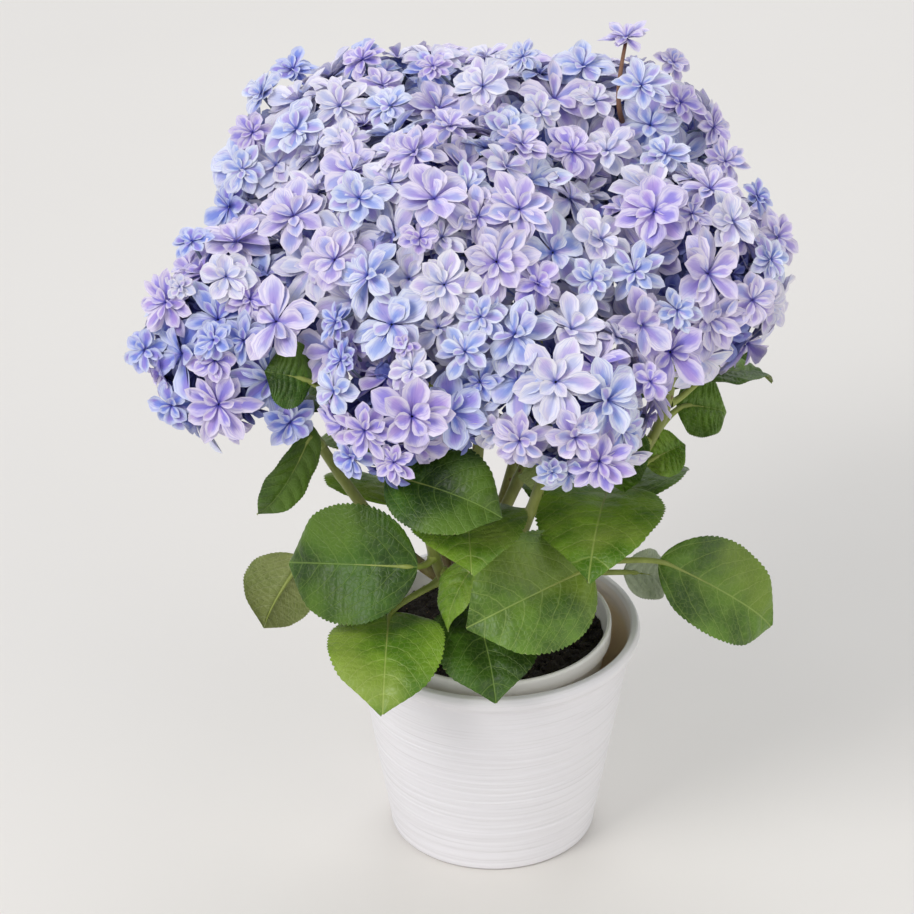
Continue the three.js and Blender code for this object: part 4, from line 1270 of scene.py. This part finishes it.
def florets_of(name, head):
    """Eye, normal, radius, spin, tint and random numbers of each floret of a head."""
    random = seeded(head["seed"])
    _, axis, side, other = head_frame(head)
    for eye, radius, tint in front_florets[name]:
        lean = PROUD["lean"] * (random() - 0.5) * side + PROUD["lean"] * (random() - 0.5) * other
        outward = skin_normal(eye)
        facing = PROUD["facing"] + PROUD["turned"] * (1 + np.dot(outward, SIGHT))
        yield eye, unit(outward - facing * SIGHT + lean), radius, 2 * math.pi * random(), tint, random
    area = 2 * math.pi * head["across"] * head["deep"] * (1 - math.cos(HEAD_REACH))
    for layer in LAYERS:
        count = round(TRIES * area / (ELBOW_ROOM * (layer["least"] + layer["greatest"])) ** 2)
        for index in range(count):
            share = (index + 0.5 + STRAY["along"] * (random() - 0.5)) / count
            polar = math.acos(1 - share * (1 - math.cos(HEAD_REACH)))
            azimuth = layer["start"] + index * GOLDEN_ANGLE + STRAY["round"] * (random() - 0.5)
            radius = lerp(layer["least"], layer["greatest"], random())
            sunk = layer["sunk"] + SEAT["fixed"] + SEAT["share"] * radius + layer["stagger"] * random() ** 2
            spin, tip_a, tip_b, pick = 2 * math.pi * random(), random() - 0.5, random() - 0.5, random()
            eye = seat_on_skin(head, azimuth, polar, sunk)
            if own_space(head, eye) < -BORDER or not has_room(eye, radius, layer["shaded"]):
                continue
            taken[layer["shaded"]].append([*eye, radius])
            outward = skin_normal(eye)
            past = abs(np.dot(outward, SIGHT) - FAR_EDGE["middle"]) / FAR_EDGE["reach"]
            over = max(0.0, 1 - past) * max(0.0, outward[2])
            eye = eye - FAR_EDGE["sunk"] * over * outward
            outward = outward - FAR_EDGE["facing"] * over * SIGHT
            normal = unit(outward + TILT * tip_a * side + TILT * tip_b * other + AXIS_PULL * axis)
            tint = head["shade"] if layer["shaded"] else head["tints"][int(len(head["tints"]) * pick)]
            yield eye, normal, radius, spin, tint, random


print("gaps kept open:", len(FRONT_GAPS))

# %% Heads of florets
TILE_COUNT, TILE_EDGE = 8, 0.004
RAY_FOOT = 0.25
rays = []


def add_petals(heap, petals, tints):
    """Petals with their tints. Each tint is a row of bake tiles, and each variant a column."""
    slots = np.array([PETAL_SLOTS[tint] for tint in tints])
    variants = np.array([petal["variant"] for petal in petals])
    corners = np.stack([variants, slots], 1) / TILE_COUNT + TILE_EDGE
    tiles = np.concatenate([corners, np.full_like(corners, 1 / TILE_COUNT - 2 * TILE_EDGE)], 1)
    across = (PETAL_ACROSS + 1) / 2 * 0.998 + 0.001
    shift = np.stack([variants, 0 * variants], 1)
    heap.add(petal_grids(petals), across, PETAL_ALONG, shift=shift, tiles=tiles, slots=slots)


for name, head in HEADS.items():
    heap = Heap()
    petals, tints = [], []
    # The list is made first, so that all places are drawn before the first petal.
    for eye, normal, radius, spin, tint, random in list(florets_of(name, head)):
        own = floret_petals(eye, normal, radius, spin, random)
        petals += own
        tints += [tint] * len(own)
        rays.append((head["at"] + (eye - head["at"]) * RAY_FOOT, eye))
    add_petals(heap, petals, tints)
    heap.piece(f"florets_{name}", PETAL_MATERIALS, [f"flower_head_{name}"])
print("florets:", len(rays))

# %% [markdown]
# ## Rays and the twig
# Thin stalks fan out from the end of each cane and carry the florets. They are
# pale, blue-green and show only in the gaps. One long brown twig stands clear
# above the upper right head, and forks to two florets: one at its tip, and a
# lower one that stands out to the right of it.

# %% Rays
RAY_SIDES = 5
RAY_STEPS, RAY_RADII = np.array([0.0, 0.35, 0.7, 1.0]), (1.1, 0.8, 0.7, 1.3)
ray_skin = Recipe("flower_stalk", 0.6)
ray_tone = ray_skin.noise(240.0)
ray_skin.colour(ray_skin.blend((96, 108, 120), (140, 150, 168), ray_tone))
ray_skin.relief(ray_tone, 0.15)
stalks = Heap()
for start, end in rays:
    add_tube(stalks, start + (end - start) * RAY_STEPS[:, None], RAY_RADII, RAY_SIDES)
print("rays:", len(rays))

# %% Twig with two florets
LONE = dict(head="upper_right", at=np.array([68.0, 90.0, 421.0]), radius=13.5)
MATE = dict(dot=(641, 86), proud=9.0, radius=16.0, ring=9)  # the lower floret, and the ring it forks from
TWIG_SHOWS = (613, 114)  # the dot of the frame where the twig leaves the crown
TWIG_RINGS, FORK_RINGS, TWIG_SIDES = 16, 4, 8
twig_skin = Recipe("brown_twig", 0.65)
twig_grain = twig_skin.noise((300, 300, 40))
twig_skin.colour(twig_skin.blend((104, 70, 52), (150, 112, 86), twig_grain))
twig_skin.relief(twig_grain, 0.2)

lone_head = HEADS[LONE["head"]]["at"]
lone_root = seat_in_view(*TWIG_SHOWS, 2.0)
lone_bend = lerp(lone_root, LONE["at"], 0.35) + [0, 0, 3]
lone_controls = [lerp(lone_head, lone_root, 0.4), lone_root, lone_bend, LONE["at"] - [0, 0, 0.5]]
lone_path = bezier(lone_controls, np.linspace(0, 1, TWIG_RINGS))[0]
add_tube(stalks, lone_path, np.linspace(1.6, 1.0, TWIG_RINGS), TWIG_SIDES, 1)
mate_eye = seat_in_view(*MATE["dot"], -MATE["proud"])
mate_path = lerp(lone_path[MATE["ring"]], mate_eye, np.linspace(0, 1, FORK_RINGS)[:, None])
add_tube(stalks, mate_path, np.linspace(1.0, 0.8, FORK_RINGS), TWIG_SIDES, 1)
stalks.piece("flower_stalks", [ray_skin, twig_skin])

lone = Heap()
mate_up = unit(skin_normal(mate_eye) - PROUD["facing"] * SIGHT)
for eye, up, radius, spin, seed, tint in (
    (LONE["at"], unit(LONE["at"] - lone_head), LONE["radius"], 0.0, 5, "l"),
    (mate_eye, mate_up, MATE["radius"], 0.6, 8, "p"),
):
    own = floret_petals(eye, up, radius, spin, seeded(seed))
    add_petals(lone, own, [tint] * len(own))
lone.piece("lone_floret", PETAL_MATERIALS)
print("twig leaves the crown at", lone_root.round(1))
